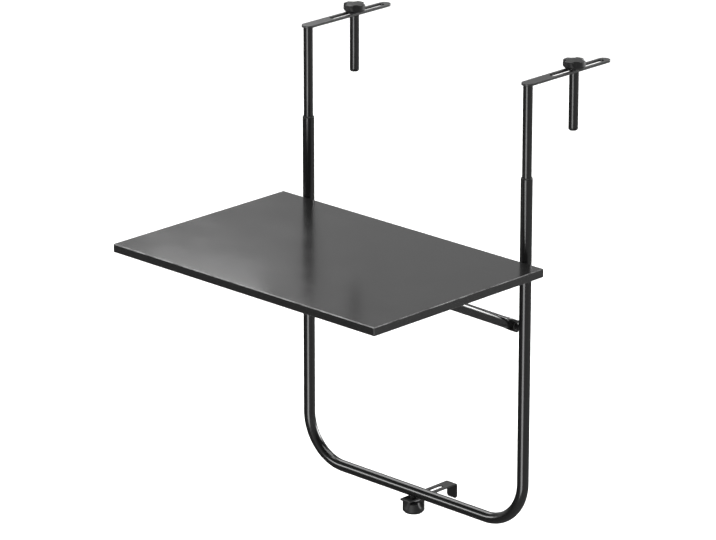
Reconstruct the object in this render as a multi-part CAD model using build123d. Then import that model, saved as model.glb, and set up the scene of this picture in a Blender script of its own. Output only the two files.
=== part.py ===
from build123d import *
import os
from math import atan2, cos, degrees, hypot, sin

# Balcony table that hangs on a railing: a bent tube frame with two telescopic posts, two railing
# hooks with star knobs, a hinged folded-sheet top, a folding support bow and a spacer at the foot.
# Millimetres. Origin midway between the posts on the undersides of the hook arms, where the railing
# carries the table. X runs along the railing, Y away from the sitter, Z up.

# Overall heights, taken from the table top's upper face
RAIL_ABOVE_TOP = 300.0
LEG_MOUTH_ABOVE_TOP = 143.0
FOOT_BELOW_TOP = 476.0
BOW_PIVOT_BELOW_TOP = 119.0

# Table top
TOP_WIDTH = 600.0
TOP_DEPTH = 400.0
RIM_HEIGHT = 15.0
SHEET = 1.2
TOP_EDGE_RADIUS = 1.5
TOP_CORNER_RADIUS = 3.0
RETURN_LIP = 8.0
REAR_EDGE_SETBACK = 11.5

# Bent tube frame
LEG_SPACING = 500.0
LEG_DIAMETER = 20.0
LEG_WALL = 1.2
LEG_BEND_RADIUS = 82.0

# Telescopic posts and their guides
POST_DIAMETER = 16.0
POST_WALL = 1.2
POST_INSERTION = 180.0
BUSH_LENGTH = 30.0
BUSH_COLLAR = 2.0
BUSH_COLLAR_ROUND = 0.8
GLIDE_LENGTH = 22.0
GLIDE_FLOOR = 2.0
GLIDE_VENT_DIAMETER = 8.0

# Set screws that clamp the posts, on the rear of the legs
CLAMP_BELOW_MOUTH = 18.0
CLAMP_SCREW_DIAMETER = 4.0
CLAMP_BOSS_DIAMETER = 6.0
CLAMP_BOSS_HEIGHT = 1.2
CLAMP_SOCKET = 2.0
CLAMP_SOCKET_DEPTH = 1.5
CLAMP_TIP_GAP = 0.3
CLAMP_TIP_CHAMFER = 0.5

# Hook arms, slotted flat bars welded on the posts
ARM_WIDTH = 22.0
ARM_THICKNESS = 4.0
ARM_REACH = 198.0
ARM_EDGE_ROUND = 0.5
ARM_SLOT_START = 54.0
ARM_SLOT_END = 185.0
ARM_SLOT_WIDTH = 11.0

# Hook pins behind the railing
HOOK_SETBACK = 113.0
PIN_DIAMETER = 16.0
PIN_WALL = 1.5
PIN_LENGTH = 101.0
PIN_CAP_HEIGHT = 4.0
PIN_CAP_ROUND = 2.5
PIN_PLUG_DEPTH = 9.0
INSERT_LENGTH = 16.0

# Studs, washers and star knobs
STUD_DIAMETER = 8.0
STUD_SLOT_PLAY = 0.5
STUD_CHAMFER = 0.8
STUD_IN_KNOB = 9.0
WASHER_DIAMETER = 24.0
WASHER_THICKNESS = 1.2
KNOB_DIAMETER = 38.0
KNOB_BASE_DIAMETER = 31.0
KNOB_FLANK = 4.0
KNOB_ROUND = 1.2
KNOB_DOME = 1.0
KNOB_SCOOPS = 4
HOOK_KNOB_HEIGHT = 14.0
HOOK_KNOB_TURN = 52.0
SPACER_KNOB_HEIGHT = 20.0
SPACER_KNOB_TURN = 0.0
SPACER_KNOB_NECK = 3.0
SPACER_KNOB_NECK_DIAMETER = 20.0
SCOOP_RADIUS = 9.5
SCOOP_DEPTH = 5.0
SCOOP_LEAN = 30.0

# Pivots of the table top and the bow, on the inner sides of the legs
HINGE_BELOW_RIM = 12.0
PIVOT_BOSS_DIAMETER = 12.0
PIVOT_BOSS_STANDOFF = 8.0
PIVOT_SHOULDER_DIAMETER = 8.0
PIVOT_THREAD_DIAMETER = 6.0
PIVOT_THREAD_LENGTH = 7.0
PIVOT_HEAD_DIAMETER = 13.0
PIVOT_HEAD_HEIGHT = 4.0
PIVOT_HEAD_ROUND = 1.5
PIVOT_SOCKET = 4.0
PIVOT_SOCKET_DEPTH = 2.5
PIVOT_WASHER_DIAMETER = 14.0
PIVOT_WASHER_THICKNESS = 1.0
PIVOT_PLATE = 3.0
PIVOT_PLAY = 0.15

# Hinge ears under the top's rear corners
EAR_REACH = 75.0
EAR_TOE = 8.0
EAR_HUB_RADIUS = 10.0
EAR_FLANGE = 20.0
EAR_RIM_GAP = 0.6

# Bearers, hat sections welded under the sheet
BEARER_SPACING = 300.0
BEARER_WEB = 22.0
BEARER_FLANGE = 10.0
BEARER_END_GAP = 1.5

# Support bow, a bent tube with flattened ends
BOW_REACH = 187.0
BOW_DIAMETER = 19.0
BOW_WALL = 1.2
BOW_BEND_RADIUS = 45.0
BOW_TAB_WIDTH = 21.0
BOW_TAB_LENGTH = 10.0
BOW_TAB_END = 11.0
BOW_TAB_CORNER = 4.0
BOW_FLATTENING = 24.0
BOW_VENT_DIAMETER = 5.0
BOW_VENT_SPACING = 200.0
BOW_SEAT_GAP = 0.3

# Catches that keep the bow under the bearers
CATCH_SHEET = 2.0
CATCH_BASE = 14.0
CATCH_LIP_GAP = 2.0
CATCH_LIP_DROP = 4.0

# Spacer at the foot
SPACER_WIDTH = 22.5
SPACER_THICKNESS = 3.0
SPACER_BEND_INNER = 1.5
SPACER_REACH = 99.0
SPACER_FRONT = 22.5
SPACER_FLANGE = 28.5
SPACER_FLANGE_ROUND = 5.0
SPACER_FRONT_ROUND = 2.0
SPACER_SLOT_FRONT = 5.0
SPACER_SLOT_REAR = 72.0
FOOT_BUSH_DIAMETER = 14.0
FOOT_BUSH_PROUD = 1.0
FOOT_BUSH_INSIDE = 12.0

# Fits, radial
PRESS_CLEARANCE = 0.05
RUNNING_CLEARANCE = 0.08

# Places that follow from the sizes above
TOP_Z = -RAIL_ABOVE_TOP
RIM_Z = TOP_Z - RIM_HEIGHT
SHEET_Z = TOP_Z - SHEET
MOUTH_Z = TOP_Z + LEG_MOUTH_ABOVE_TOP
LEG_TOP_Z = MOUTH_Z - BUSH_COLLAR
FOOT_Z = TOP_Z - FOOT_BELOW_TOP
CLAMP_Z = MOUTH_Z - CLAMP_BELOW_MOUTH
HINGE_Z = RIM_Z - HINGE_BELOW_RIM
BOW_PIVOT_Z = TOP_Z - BOW_PIVOT_BELOW_TOP

LEG_X = LEG_SPACING / 2
LEG_RADIUS = LEG_DIAMETER / 2
LEG_BORE = LEG_RADIUS - LEG_WALL
POST_RADIUS = POST_DIAMETER / 2
POST_BOTTOM_Z = MOUTH_Z - POST_INSERTION
PIN_RADIUS = PIN_DIAMETER / 2
PIN_BORE = PIN_RADIUS - PIN_WALL
STUD_RADIUS = STUD_DIAMETER / 2
STUD_SLOT_WIDTH = STUD_DIAMETER + STUD_SLOT_PLAY

# Pivot stack, as distances from the leg's axis towards the middle of the table
BOSS_FACE = LEG_RADIUS + PIVOT_BOSS_STANDOFF
PLATE_OUTER = BOSS_FACE + PIVOT_WASHER_THICKNESS + PIVOT_PLAY
PLATE_INNER = PLATE_OUTER + PIVOT_PLATE
HEAD_FACE = PLATE_INNER + PIVOT_PLAY + PIVOT_WASHER_THICKNESS
PLATE_X = LEG_X - (PLATE_OUTER + PLATE_INNER) / 2
PIVOT_HOLE = PIVOT_SHOULDER_DIAMETER / 2 + RUNNING_CLEARANCE

# Bow at rest: its cross tube lies just under the catches
BOW_RADIUS = BOW_DIAMETER / 2
CATCH_Z = RIM_Z - CATCH_SHEET
BOW_CROSS_Z = CATCH_Z - BOW_SEAT_GAP - BOW_RADIUS
BOW_RISE = BOW_CROSS_Z - BOW_PIVOT_Z
BOW_LENGTH = hypot(BOW_REACH, BOW_RISE)
BOW_ANGLE = atan2(BOW_RISE, BOW_REACH)

FOOT_BUSH_RADIUS = FOOT_BUSH_DIAMETER / 2
SPACER_Z = FOOT_Z - LEG_RADIUS - FOOT_BUSH_PROUD
SPACER_WASHER_Z = SPACER_Z - SPACER_THICKNESS - WASHER_THICKNESS

SIDES = {"left": -1, "right": 1}


def rod(radius, start, direction, length):
    """Round bar of a length from a start point along a direction."""
    return extrude(Plane(origin=start, z_dir=direction) * Circle(radius), amount=length)


def ring(outer, inner, start, direction, length):
    """Round bar with a bore through it."""
    return rod(outer, start, direction, length) - rod(inner, start, direction, length)


def hex_socket(across_flats, start, direction, depth):
    """Hexagonal recess for a key, as the solid to cut away."""
    flats = RegularPolygon(across_flats / 2, 6, major_radius=False)
    return extrude(Plane(origin=start, z_dir=direction) * flats, amount=depth)


def u_frame():
    """Both legs and the foot tube, one tube bent to a U, with holes for set screws and foot bush."""
    corners = [(-LEG_X, 0, LEG_TOP_Z), (-LEG_X, 0, FOOT_Z), (LEG_X, 0, FOOT_Z), (LEG_X, 0, LEG_TOP_Z)]
    path = FilletPolyline(*corners, radius=LEG_BEND_RADIUS)
    start = Plane(origin=path @ 0, z_dir=path % 0)
    frame = sweep(start * Circle(LEG_RADIUS), path=path) - sweep(start * Circle(LEG_BORE), path=path)
    for side in SIDES.values():
        frame -= rod(clamp_bore(), (side * LEG_X, 0, CLAMP_Z), (0, 1, 0), LEG_DIAMETER)
    return frame - rod(FOOT_BUSH_RADIUS + PRESS_CLEARANCE, (0, 0, FOOT_Z), (0, 0, -1), LEG_DIAMETER)


def clamp_bore():
    """Radius of the hole that a clamp's set screw turns in."""
    return CLAMP_SCREW_DIAMETER / 2 + RUNNING_CLEARANCE


def guide_bush(side):
    """Plastic sleeve in a leg's mouth that the post slides in, with a collar on the tube's end."""
    foot = (side * LEG_X, 0, LEG_TOP_Z - BUSH_LENGTH)
    collar = rod(LEG_RADIUS, (side * LEG_X, 0, LEG_TOP_Z), (0, 0, 1), BUSH_COLLAR)
    collar = fillet(collar.edges().group_by(Axis.Z)[-1], BUSH_COLLAR_ROUND)
    bush = collar + rod(LEG_BORE - PRESS_CLEARANCE, foot, (0, 0, 1), BUSH_LENGTH)
    bush -= rod(POST_RADIUS + RUNNING_CLEARANCE, foot, (0, 0, 1), BUSH_LENGTH + BUSH_COLLAR)
    return bush - rod(clamp_bore(), (side * LEG_X, 0, CLAMP_Z), (0, 1, 0), LEG_DIAMETER)


def clamp_boss(side):
    """Threaded boss welded on the rear of a leg, saddled to the tube."""
    centre = (side * LEG_X, 0, CLAMP_Z)
    height = LEG_RADIUS + CLAMP_BOSS_HEIGHT
    boss = ring(CLAMP_BOSS_DIAMETER / 2, clamp_bore(), centre, (0, 1, 0), height)
    below = (side * LEG_X, 0, CLAMP_Z - CLAMP_BOSS_DIAMETER)
    return boss - rod(LEG_RADIUS, below, (0, 0, 1), 2 * CLAMP_BOSS_DIAMETER)


def clamp_screw(side):
    """Set screw that ends flush with its boss and stands just off the post."""
    tip = POST_RADIUS + CLAMP_TIP_GAP
    end = LEG_RADIUS + CLAMP_BOSS_HEIGHT
    screw = rod(CLAMP_SCREW_DIAMETER / 2, (side * LEG_X, tip, CLAMP_Z), (0, 1, 0), end - tip)
    screw = chamfer(screw.edges().group_by(Axis.Y)[0], CLAMP_TIP_CHAMFER)
    return screw - hex_socket(CLAMP_SOCKET, (side * LEG_X, end, CLAMP_Z), (0, -1, 0), CLAMP_SOCKET_DEPTH)


def post_tube(side):
    """Inner tube of the telescope, from the arm down into the leg."""
    bore = POST_RADIUS - POST_WALL
    return ring(POST_RADIUS, bore, (side * LEG_X, 0, POST_BOTTOM_Z), (0, 0, 1), -POST_BOTTOM_Z)


def post_glide(side):
    """Plastic shoe over the post's lower end that centres it in the leg."""
    outer = LEG_BORE - RUNNING_CLEARANCE
    foot = (side * LEG_X, 0, POST_BOTTOM_Z - GLIDE_FLOOR)
    shoe = rod(outer, foot, (0, 0, 1), GLIDE_LENGTH)
    seat = (side * LEG_X, 0, POST_BOTTOM_Z)
    shoe -= rod(POST_RADIUS + PRESS_CLEARANCE, seat, (0, 0, 1), GLIDE_LENGTH)
    return shoe - rod(GLIDE_VENT_DIAMETER / 2, foot, (0, 0, 1), GLIDE_FLOOR)


def lengthwise_slot(start, end, width):
    """Outline with round ends along Y, from its start to its end."""
    outline = SlotOverall(end - start, width, rotation=90)
    return Pos(0, (start + end) / 2) * outline


def hook_arm(side):
    """Flat bar with round ends on top of a post, slotted for the hook's stud."""
    bar = lengthwise_slot(-ARM_WIDTH / 2, ARM_REACH, ARM_WIDTH)
    slot = lengthwise_slot(ARM_SLOT_START, ARM_SLOT_END, ARM_SLOT_WIDTH)
    arm = extrude(bar, amount=ARM_THICKNESS)
    arm = fillet(arm.edges().filter_by(Plane.XY), ARM_EDGE_ROUND)
    return Pos(side * LEG_X, 0, 0) * (arm - extrude(slot, amount=ARM_THICKNESS))


def hook_pin(side):
    """Tube of the hook that grips the railing from behind."""
    length = PIN_LENGTH - PIN_CAP_HEIGHT
    return ring(PIN_RADIUS, PIN_BORE, (side * LEG_X, HOOK_SETBACK, -length), (0, 0, 1), length)


def hook_insert(side):
    """Threaded bush pressed into the pin's upper end."""
    bore = STUD_RADIUS + RUNNING_CLEARANCE
    foot = (side * LEG_X, HOOK_SETBACK, -INSERT_LENGTH)
    return ring(PIN_BORE - PRESS_CLEARANCE, bore, foot, (0, 0, 1), INSERT_LENGTH)


def hook_cap(side):
    """Round plastic plug that closes the pin's lower end."""
    foot = (side * LEG_X, HOOK_SETBACK, -PIN_LENGTH)
    head = rod(PIN_RADIUS, foot, (0, 0, 1), PIN_CAP_HEIGHT)
    head = fillet(head.edges().group_by(Axis.Z)[0], PIN_CAP_ROUND)
    return head + rod(PIN_BORE - PRESS_CLEARANCE, foot, (0, 0, 1), PIN_CAP_HEIGHT + PIN_PLUG_DEPTH)


def stud_washer(place, direction):
    """Flat washer between a knob and the piece that it clamps."""
    bore = STUD_RADIUS + RUNNING_CLEARANCE
    return ring(WASHER_DIAMETER / 2, bore, place, direction, WASHER_THICKNESS)


def star_knob(height, turn):
    """Round knob standing on its base at the origin, with finger scoops that run out below its rim."""
    rim = KNOB_DIAMETER / 2
    shoulder = height - KNOB_DOME
    crown_radius = (rim**2 + KNOB_DOME**2) / (2 * KNOB_DOME)
    side = Polyline((0, 0), (KNOB_BASE_DIAMETER / 2, 0), (rim, KNOB_FLANK), (rim, shoulder))
    crown = RadiusArc((rim, shoulder), (0, height), -crown_radius)
    outline = make_face(side + crown + Line((0, height), (0, 0)))
    edge = outline.vertices().sort_by_distance((rim, shoulder))[0]
    knob = revolve(Plane.XZ * fillet(edge, KNOB_ROUND), axis=Axis.Z)
    lean = Vector(0, 0, -1).rotate(Axis.Y, -SCOOP_LEAN)
    top = Vector(rim + SCOOP_RADIUS - SCOOP_DEPTH, 0, height)
    scoop = rod(SCOOP_RADIUS, top - lean * height, lean, 3 * height)
    places = PolarLocations(0, KNOB_SCOOPS, start_angle=turn)
    return knob - [place * scoop for place in places]


def hook_knob(side):
    """Star knob on top of an arm."""
    socket = rod(STUD_RADIUS + PRESS_CLEARANCE, (0, 0, 0), (0, 0, 1), STUD_IN_KNOB)
    knob = star_knob(HOOK_KNOB_HEIGHT, HOOK_KNOB_TURN) - socket
    return Pos(side * LEG_X, HOOK_SETBACK, ARM_THICKNESS + WASHER_THICKNESS) * knob


def threaded_stud(lower, upper):
    """Stud along Z from its lower to its upper end, chamfered at both."""
    stud = rod(STUD_RADIUS, lower, (0, 0, 1), upper - lower[2])
    return chamfer(stud.edges(), STUD_CHAMFER)


def hook_stud(side):
    """Stud from a knob through washer and slot into the pin's insert."""
    upper = ARM_THICKNESS + WASHER_THICKNESS + STUD_IN_KNOB
    return threaded_stud((side * LEG_X, HOOK_SETBACK, -INSERT_LENGTH), upper)


def table_top():
    """Sheet folded down to a rim all round, with a return lip along the front and both ends."""
    middle = Pos(0, -REAR_EDGE_SETBACK - TOP_DEPTH / 2, RIM_Z)
    shell = extrude(RectangleRounded(TOP_WIDTH, TOP_DEPTH, TOP_CORNER_RADIUS), amount=RIM_HEIGHT)
    shell = fillet(shell.edges().group_by(Axis.Z)[-1], TOP_EDGE_RADIUS)
    inner_width = TOP_WIDTH - 2 * SHEET
    inner_depth = TOP_DEPTH - 2 * SHEET
    hollow = RectangleRounded(inner_width, inner_depth, TOP_CORNER_RADIUS - SHEET)
    shell -= Pos(0, 0, SHEET) * extrude(hollow, amount=RIM_HEIGHT - 2 * SHEET)
    mouth_depth = inner_depth - RETURN_LIP
    mouth = Pos(0, RETURN_LIP / 2) * Rectangle(inner_width - 2 * RETURN_LIP, mouth_depth)
    return middle * (shell - extrude(mouth, amount=SHEET))


def bearer(side):
    """Hat section under the sheet from the front lip to the rear rim."""
    rear = -REAR_EDGE_SETBACK - SHEET - BEARER_END_GAP
    front = -REAR_EDGE_SETBACK - TOP_DEPTH + SHEET + RETURN_LIP + BEARER_END_GAP
    depth = SHEET_Z - RIM_Z
    web = Pos(0, SHEET / 2) * Rectangle(BEARER_WEB, SHEET)
    walls = Pos(0, depth / 2) * (Rectangle(BEARER_WEB, depth) - Rectangle(BEARER_WEB - 2 * SHEET, depth))
    brim = BEARER_WEB + 2 * BEARER_FLANGE
    flanges = Pos(0, depth - SHEET / 2) * (Rectangle(brim, SHEET) - Rectangle(BEARER_WEB, SHEET))
    section = Plane(origin=(side * BEARER_SPACING / 2, rear, RIM_Z), x_dir=(1, 0, 0), z_dir=(0, -1, 0))
    return extrude(section * (web + walls + flanges), amount=rear - front)


def hinge_ear(side):
    """Bracket under a rear corner: a flange on the sheet and an ear that turns on the leg's bolt."""
    toe = Line((-EAR_REACH, SHEET_Z), (-EAR_REACH, SHEET_Z - EAR_TOE))
    heel_y = -REAR_EDGE_SETBACK - SHEET - EAR_RIM_GAP
    heel = Line((heel_y, SHEET_Z), (heel_y, SHEET_Z - EAR_TOE))
    hub = Pos(0, HINGE_Z) * Circle(EAR_HUB_RADIUS)
    outline = make_hull(toe.edges() + heel.edges() + hub.edges())
    over_rim = 2 * EAR_HUB_RADIUS - heel_y
    notch_floor = RIM_Z - EAR_RIM_GAP
    outline -= Pos(heel_y, notch_floor) * Rectangle(over_rim, RIM_HEIGHT + EAR_RIM_GAP, align=Align.MIN)
    outline -= Pos(0, HINGE_Z) * Circle(PIVOT_HOLE)
    ear = extrude(Plane.YZ.offset(side * PLATE_X) * outline, amount=PIVOT_PLATE / 2, both=True)
    flange_x = side * (PLATE_X - (PIVOT_PLATE + EAR_FLANGE) / 2)
    flange = Box(EAR_FLANGE, heel_y + EAR_REACH, PIVOT_PLATE)
    return ear + Pos(flange_x, (heel_y - EAR_REACH) / 2, SHEET_Z - PIVOT_PLATE / 2) * flange


def bow_catch(side):
    """Bent plate under a bearer with a lip in front of the bow's cross tube."""
    lip_rear = -BOW_REACH - BOW_RADIUS - CATCH_LIP_GAP
    base_rear = -BOW_REACH + CATCH_BASE
    base_outline = [(base_rear, RIM_Z), (base_rear, CATCH_Z), (lip_rear, CATCH_Z)]
    lip_bottom = CATCH_Z - CATCH_LIP_DROP
    lip_front = lip_rear - CATCH_SHEET
    lip_outline = [(lip_rear, lip_bottom), (lip_front, lip_bottom), (lip_front, RIM_Z)]
    outline = make_face(Polyline(*base_outline, *lip_outline, close=True))
    bend = outline.vertices().sort_by_distance((lip_front, RIM_Z))[0]
    outline = fillet(bend, CATCH_SHEET)
    middle = Plane.YZ.offset(side * BEARER_SPACING / 2)
    return extrude(middle * outline, amount=BEARER_WEB / 2, both=True)


def pivot_boss(side, height):
    """Threaded boss welded on the inner side of a leg, saddled to the tube."""
    inward = (-side, 0, 0)
    centre = (side * LEG_X, 0, height)
    bore = PIVOT_THREAD_DIAMETER / 2 + PRESS_CLEARANCE
    boss = ring(PIVOT_BOSS_DIAMETER / 2, bore, centre, inward, BOSS_FACE)
    below = (side * LEG_X, 0, height - PIVOT_BOSS_DIAMETER)
    return boss - rod(LEG_RADIUS, below, (0, 0, 1), 2 * PIVOT_BOSS_DIAMETER)


def pivot_bolt(side, height):
    """Shoulder bolt that a hinged plate turns on, screwed into its boss."""
    inward = (-side, 0, 0)
    seat = (side * (LEG_X - BOSS_FACE), 0, height)
    head_seat = (side * (LEG_X - HEAD_FACE), 0, height)
    end = (side * (LEG_X - HEAD_FACE - PIVOT_HEAD_HEIGHT), 0, height)
    head = rod(PIVOT_HEAD_DIAMETER / 2, head_seat, inward, PIVOT_HEAD_HEIGHT)
    rim = head.edges().filter_by(GeomType.CIRCLE).sort_by_distance(end)[0]
    bolt = fillet(rim, PIVOT_HEAD_ROUND)
    bolt += rod(PIVOT_SHOULDER_DIAMETER / 2, seat, inward, HEAD_FACE - BOSS_FACE)
    bolt += rod(PIVOT_THREAD_DIAMETER / 2, seat, (side, 0, 0), PIVOT_THREAD_LENGTH)
    return bolt - hex_socket(PIVOT_SOCKET, end, (side, 0, 0), PIVOT_SOCKET_DEPTH)


def pivot_washers():
    """Plastic washers on both faces of every hinged plate."""
    bore = PIVOT_SHOULDER_DIAMETER / 2 + PRESS_CLEARANCE
    washers = []
    for side in SIDES.values():
        for height in (HINGE_Z, BOW_PIVOT_Z):
            for face in (BOSS_FACE, HEAD_FACE - PIVOT_WASHER_THICKNESS):
                place = (side * (LEG_X - face), 0, height)
                outer = PIVOT_WASHER_DIAMETER / 2
                washers.append(ring(outer, bore, place, (-side, 0, 0), PIVOT_WASHER_THICKNESS))
    return Compound(children=washers)


def tube_section(radius):
    """Circle in four arcs, in step with the four edges of the flattened section."""
    return make_face([CenterArc((0, 0), radius, start, 90) for start in (-45, 45, 135, 225)])


def flat_section():
    """Flattened tube: two flat faces joined by round edges, wide along Y."""
    x = PIVOT_PLATE / 2
    y = BOW_TAB_WIDTH / 2 - x
    right = Line((x, -y), (x, y))
    crest = CenterArc((0, y), x, 0, 180)
    left = Line((-x, y), (-x, -y))
    foot = CenterArc((0, -y), x, 180, 180)
    return make_face([right, crest, left, foot])


def bow_end(side):
    """One flattened end of the bow in the bow's own plane, with its pivot at (X, 0, 0)."""
    flat_plane = Plane(origin=(side * PLATE_X, BOW_TAB_LENGTH, 0), x_dir=(1, 0, 0), z_dir=(0, -1, 0))
    tube_plane = Plane(origin=(side * PLATE_X, bow_tube_start(), 0), x_dir=(1, 0, 0), z_dir=(0, -1, 0))
    end = loft([tube_plane * tube_section(BOW_RADIUS), flat_plane * flat_section()])
    tab = extrude(flat_plane * flat_section(), amount=BOW_TAB_LENGTH + BOW_TAB_END)
    length = BOW_TAB_LENGTH + BOW_TAB_END + BOW_TAB_CORNER
    outline = Pos(length / 2 - BOW_TAB_END, 0) * RectangleRounded(length, BOW_TAB_WIDTH, BOW_TAB_CORNER)
    end += tab & extrude(Plane.YZ.offset(side * PLATE_X) * outline, amount=PIVOT_PLATE, both=True)
    return end - rod(PIVOT_HOLE, (side * PLATE_X - BOW_RADIUS, 0, 0), (1, 0, 0), BOW_DIAMETER)


def bow_tube_start():
    """Distance from the bow's pivot to where its tube is still round."""
    return BOW_TAB_LENGTH + BOW_FLATTENING


def support_bow():
    """Bent tube that carries the top, with both ends flattened and drilled for the pivot bolts."""
    start_y = bow_tube_start()
    corners = [(PLATE_X, start_y), (PLATE_X, BOW_LENGTH), (-PLATE_X, BOW_LENGTH), (-PLATE_X, start_y)]
    path = FilletPolyline(*corners, radius=BOW_BEND_RADIUS)
    start = Plane(origin=path @ 0, z_dir=path % 0)
    bow = sweep(start * Circle(BOW_RADIUS), path=path)
    for side in SIDES.values():
        bow += bow_end(side)
    bow -= sweep(start * Circle(BOW_RADIUS - BOW_WALL), path=path)
    for x in (-BOW_VENT_SPACING / 2, BOW_VENT_SPACING / 2):
        bow -= rod(BOW_VENT_DIAMETER / 2, (x, BOW_LENGTH, 0), (0, 0, 1), BOW_DIAMETER)
    forward = Vector(0, -cos(BOW_ANGLE), sin(BOW_ANGLE))
    place = Plane(origin=(0, 0, BOW_PIVOT_Z), x_dir=(1, 0, 0), z_dir=Vector(1, 0, 0).cross(forward))
    return place * bow


def foot_bush():
    """Threaded bush welded through the underside of the foot tube for the spacer's stud."""
    length = FOOT_BUSH_INSIDE + FOOT_BUSH_PROUD
    return ring(FOOT_BUSH_RADIUS, STUD_RADIUS + RUNNING_CLEARANCE, (0, 0, SPACER_Z), (0, 0, 1), length)


def spacer_plate():
    """Slotted plate under the foot tube, bent down at the rear to bear on the railing."""
    front = -SPACER_FRONT
    inside = SPACER_REACH - SPACER_THICKNESS
    under = SPACER_Z - SPACER_THICKNESS
    bottom = SPACER_Z - SPACER_FLANGE
    upper = [(front, under), (front, SPACER_Z), (SPACER_REACH, SPACER_Z)]
    lower = [(SPACER_REACH, bottom), (inside, bottom), (inside, under)]
    profile = make_face(Polyline(*upper, *lower, close=True))
    outer_bend = profile.vertices().sort_by_distance((SPACER_REACH, SPACER_Z))[0]
    profile = fillet(outer_bend, SPACER_THICKNESS + SPACER_BEND_INNER)
    inner_bend = profile.vertices().sort_by_distance((inside, under))[0]
    profile = fillet(inner_bend, SPACER_BEND_INNER)
    plate = extrude(Plane.YZ * profile, amount=SPACER_WIDTH / 2, both=True)
    plate = fillet(plate.edges().filter_by(Axis.Y).group_by(Axis.Z)[0], SPACER_FLANGE_ROUND)
    plate = fillet(plate.edges().filter_by(Axis.Z).group_by(Axis.Y)[0], SPACER_FRONT_ROUND)
    slot = lengthwise_slot(-SPACER_SLOT_FRONT, SPACER_SLOT_REAR, STUD_SLOT_WIDTH)
    return plate - Pos(0, 0, under) * extrude(slot, amount=SPACER_THICKNESS)


def spacer_knob():
    """Star knob below the spacer, with a neck under the washer and its stud upwards."""
    knob = star_knob(SPACER_KNOB_HEIGHT, SPACER_KNOB_TURN)
    neck_base = (0, 0, SPACER_KNOB_HEIGHT / 2)
    neck_length = SPACER_KNOB_HEIGHT / 2 + SPACER_KNOB_NECK
    knob += rod(SPACER_KNOB_NECK_DIAMETER / 2, neck_base, (0, 0, 1), neck_length)
    base_z = SPACER_WASHER_Z - SPACER_KNOB_NECK - SPACER_KNOB_HEIGHT
    top = (0, 0, SPACER_WASHER_Z)
    socket = rod(STUD_RADIUS + PRESS_CLEARANCE, top, (0, 0, -1), STUD_IN_KNOB)
    return Pos(0, 0, base_z) * knob - socket


def spacer_stud():
    """Stud from the lower knob through washer and slot into the foot bush."""
    upper = SPACER_Z + FOOT_BUSH_INSIDE
    return threaded_stud((0, 0, SPACER_WASHER_Z - STUD_IN_KNOB), upper)


def side_nodes(label, side):
    """Every piece that comes once for each leg."""
    washer_place = (side * LEG_X, HOOK_SETBACK, ARM_THICKNESS)
    return {
        f"{label}_guide_bush": guide_bush(side),
        f"{label}_clamp_boss": clamp_boss(side),
        f"{label}_clamp_screw": clamp_screw(side),
        f"{label}_post_tube": post_tube(side),
        f"{label}_post_glide": post_glide(side),
        f"{label}_hook_arm": hook_arm(side),
        f"{label}_hook_pin": hook_pin(side),
        f"{label}_hook_insert": hook_insert(side),
        f"{label}_hook_cap": hook_cap(side),
        f"{label}_hook_washer": stud_washer(washer_place, (0, 0, 1)),
        f"{label}_hook_stud": hook_stud(side),
        f"{label}_hook_knob": hook_knob(side),
        f"{label}_hinge_boss": pivot_boss(side, HINGE_Z),
        f"{label}_hinge_bolt": pivot_bolt(side, HINGE_Z),
        f"{label}_bow_boss": pivot_boss(side, BOW_PIVOT_Z),
        f"{label}_bow_bolt": pivot_bolt(side, BOW_PIVOT_Z),
        f"{label}_hinge_ear": hinge_ear(side),
        f"{label}_bearer": bearer(side),
        f"{label}_bow_catch": bow_catch(side),
    }


def main():
    """Build every piece and write each to its own file."""
    nodes = {
        "u_frame": u_frame(),
        "table_top": table_top(),
        "support_bow": support_bow(),
        "pivot_washers": pivot_washers(),
        "foot_bush": foot_bush(),
        "spacer_plate": spacer_plate(),
        "spacer_washer": stud_washer((0, 0, SPACER_WASHER_Z), (0, 0, 1)),
        "spacer_stud": spacer_stud(),
        "spacer_knob": spacer_knob(),
    }
    for label, side in SIDES.items():
        nodes.update(side_nodes(label, side))
    os.makedirs("parts", exist_ok=True)
    for name, shape in nodes.items():
        export_step(shape, f"parts/{name}.step")
    print(f"{len(nodes)} nodes, bow at {degrees(BOW_ANGLE):.2f} degrees, hinge at {HINGE_Z:.1f}")


main()
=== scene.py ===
"""Looks of a balcony table that hangs on a railing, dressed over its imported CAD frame.

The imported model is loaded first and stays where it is. Each sub-assembly is a class that holds its
sizes in metres, works its surfaces out as numpy grids and rides them on the CAD bodies. X runs along
the railing, Y away from the sitter and Z up, with the origin midway between the posts on the
undersides of the hook arms.
"""

from __future__ import annotations

import logging
import math
from collections.abc import Callable
from dataclasses import dataclass, field
from enum import Enum

import bmesh
import bpy
import numpy as np
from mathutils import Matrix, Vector

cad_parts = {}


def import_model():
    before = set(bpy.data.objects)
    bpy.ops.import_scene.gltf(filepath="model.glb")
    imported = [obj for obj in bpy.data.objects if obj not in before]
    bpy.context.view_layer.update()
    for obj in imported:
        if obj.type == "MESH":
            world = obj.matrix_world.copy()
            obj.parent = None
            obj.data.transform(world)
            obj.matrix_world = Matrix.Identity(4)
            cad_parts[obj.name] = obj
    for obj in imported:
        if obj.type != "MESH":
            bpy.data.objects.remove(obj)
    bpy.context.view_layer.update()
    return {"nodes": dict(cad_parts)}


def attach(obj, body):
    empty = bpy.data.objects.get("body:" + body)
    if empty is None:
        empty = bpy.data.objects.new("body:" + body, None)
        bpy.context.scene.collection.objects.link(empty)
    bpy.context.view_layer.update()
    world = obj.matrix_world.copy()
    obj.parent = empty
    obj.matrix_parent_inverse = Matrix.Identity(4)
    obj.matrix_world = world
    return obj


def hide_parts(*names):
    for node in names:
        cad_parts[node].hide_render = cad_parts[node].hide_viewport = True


Point = tuple[float, float, float]
Colour = tuple[float, float, float, float]

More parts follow.
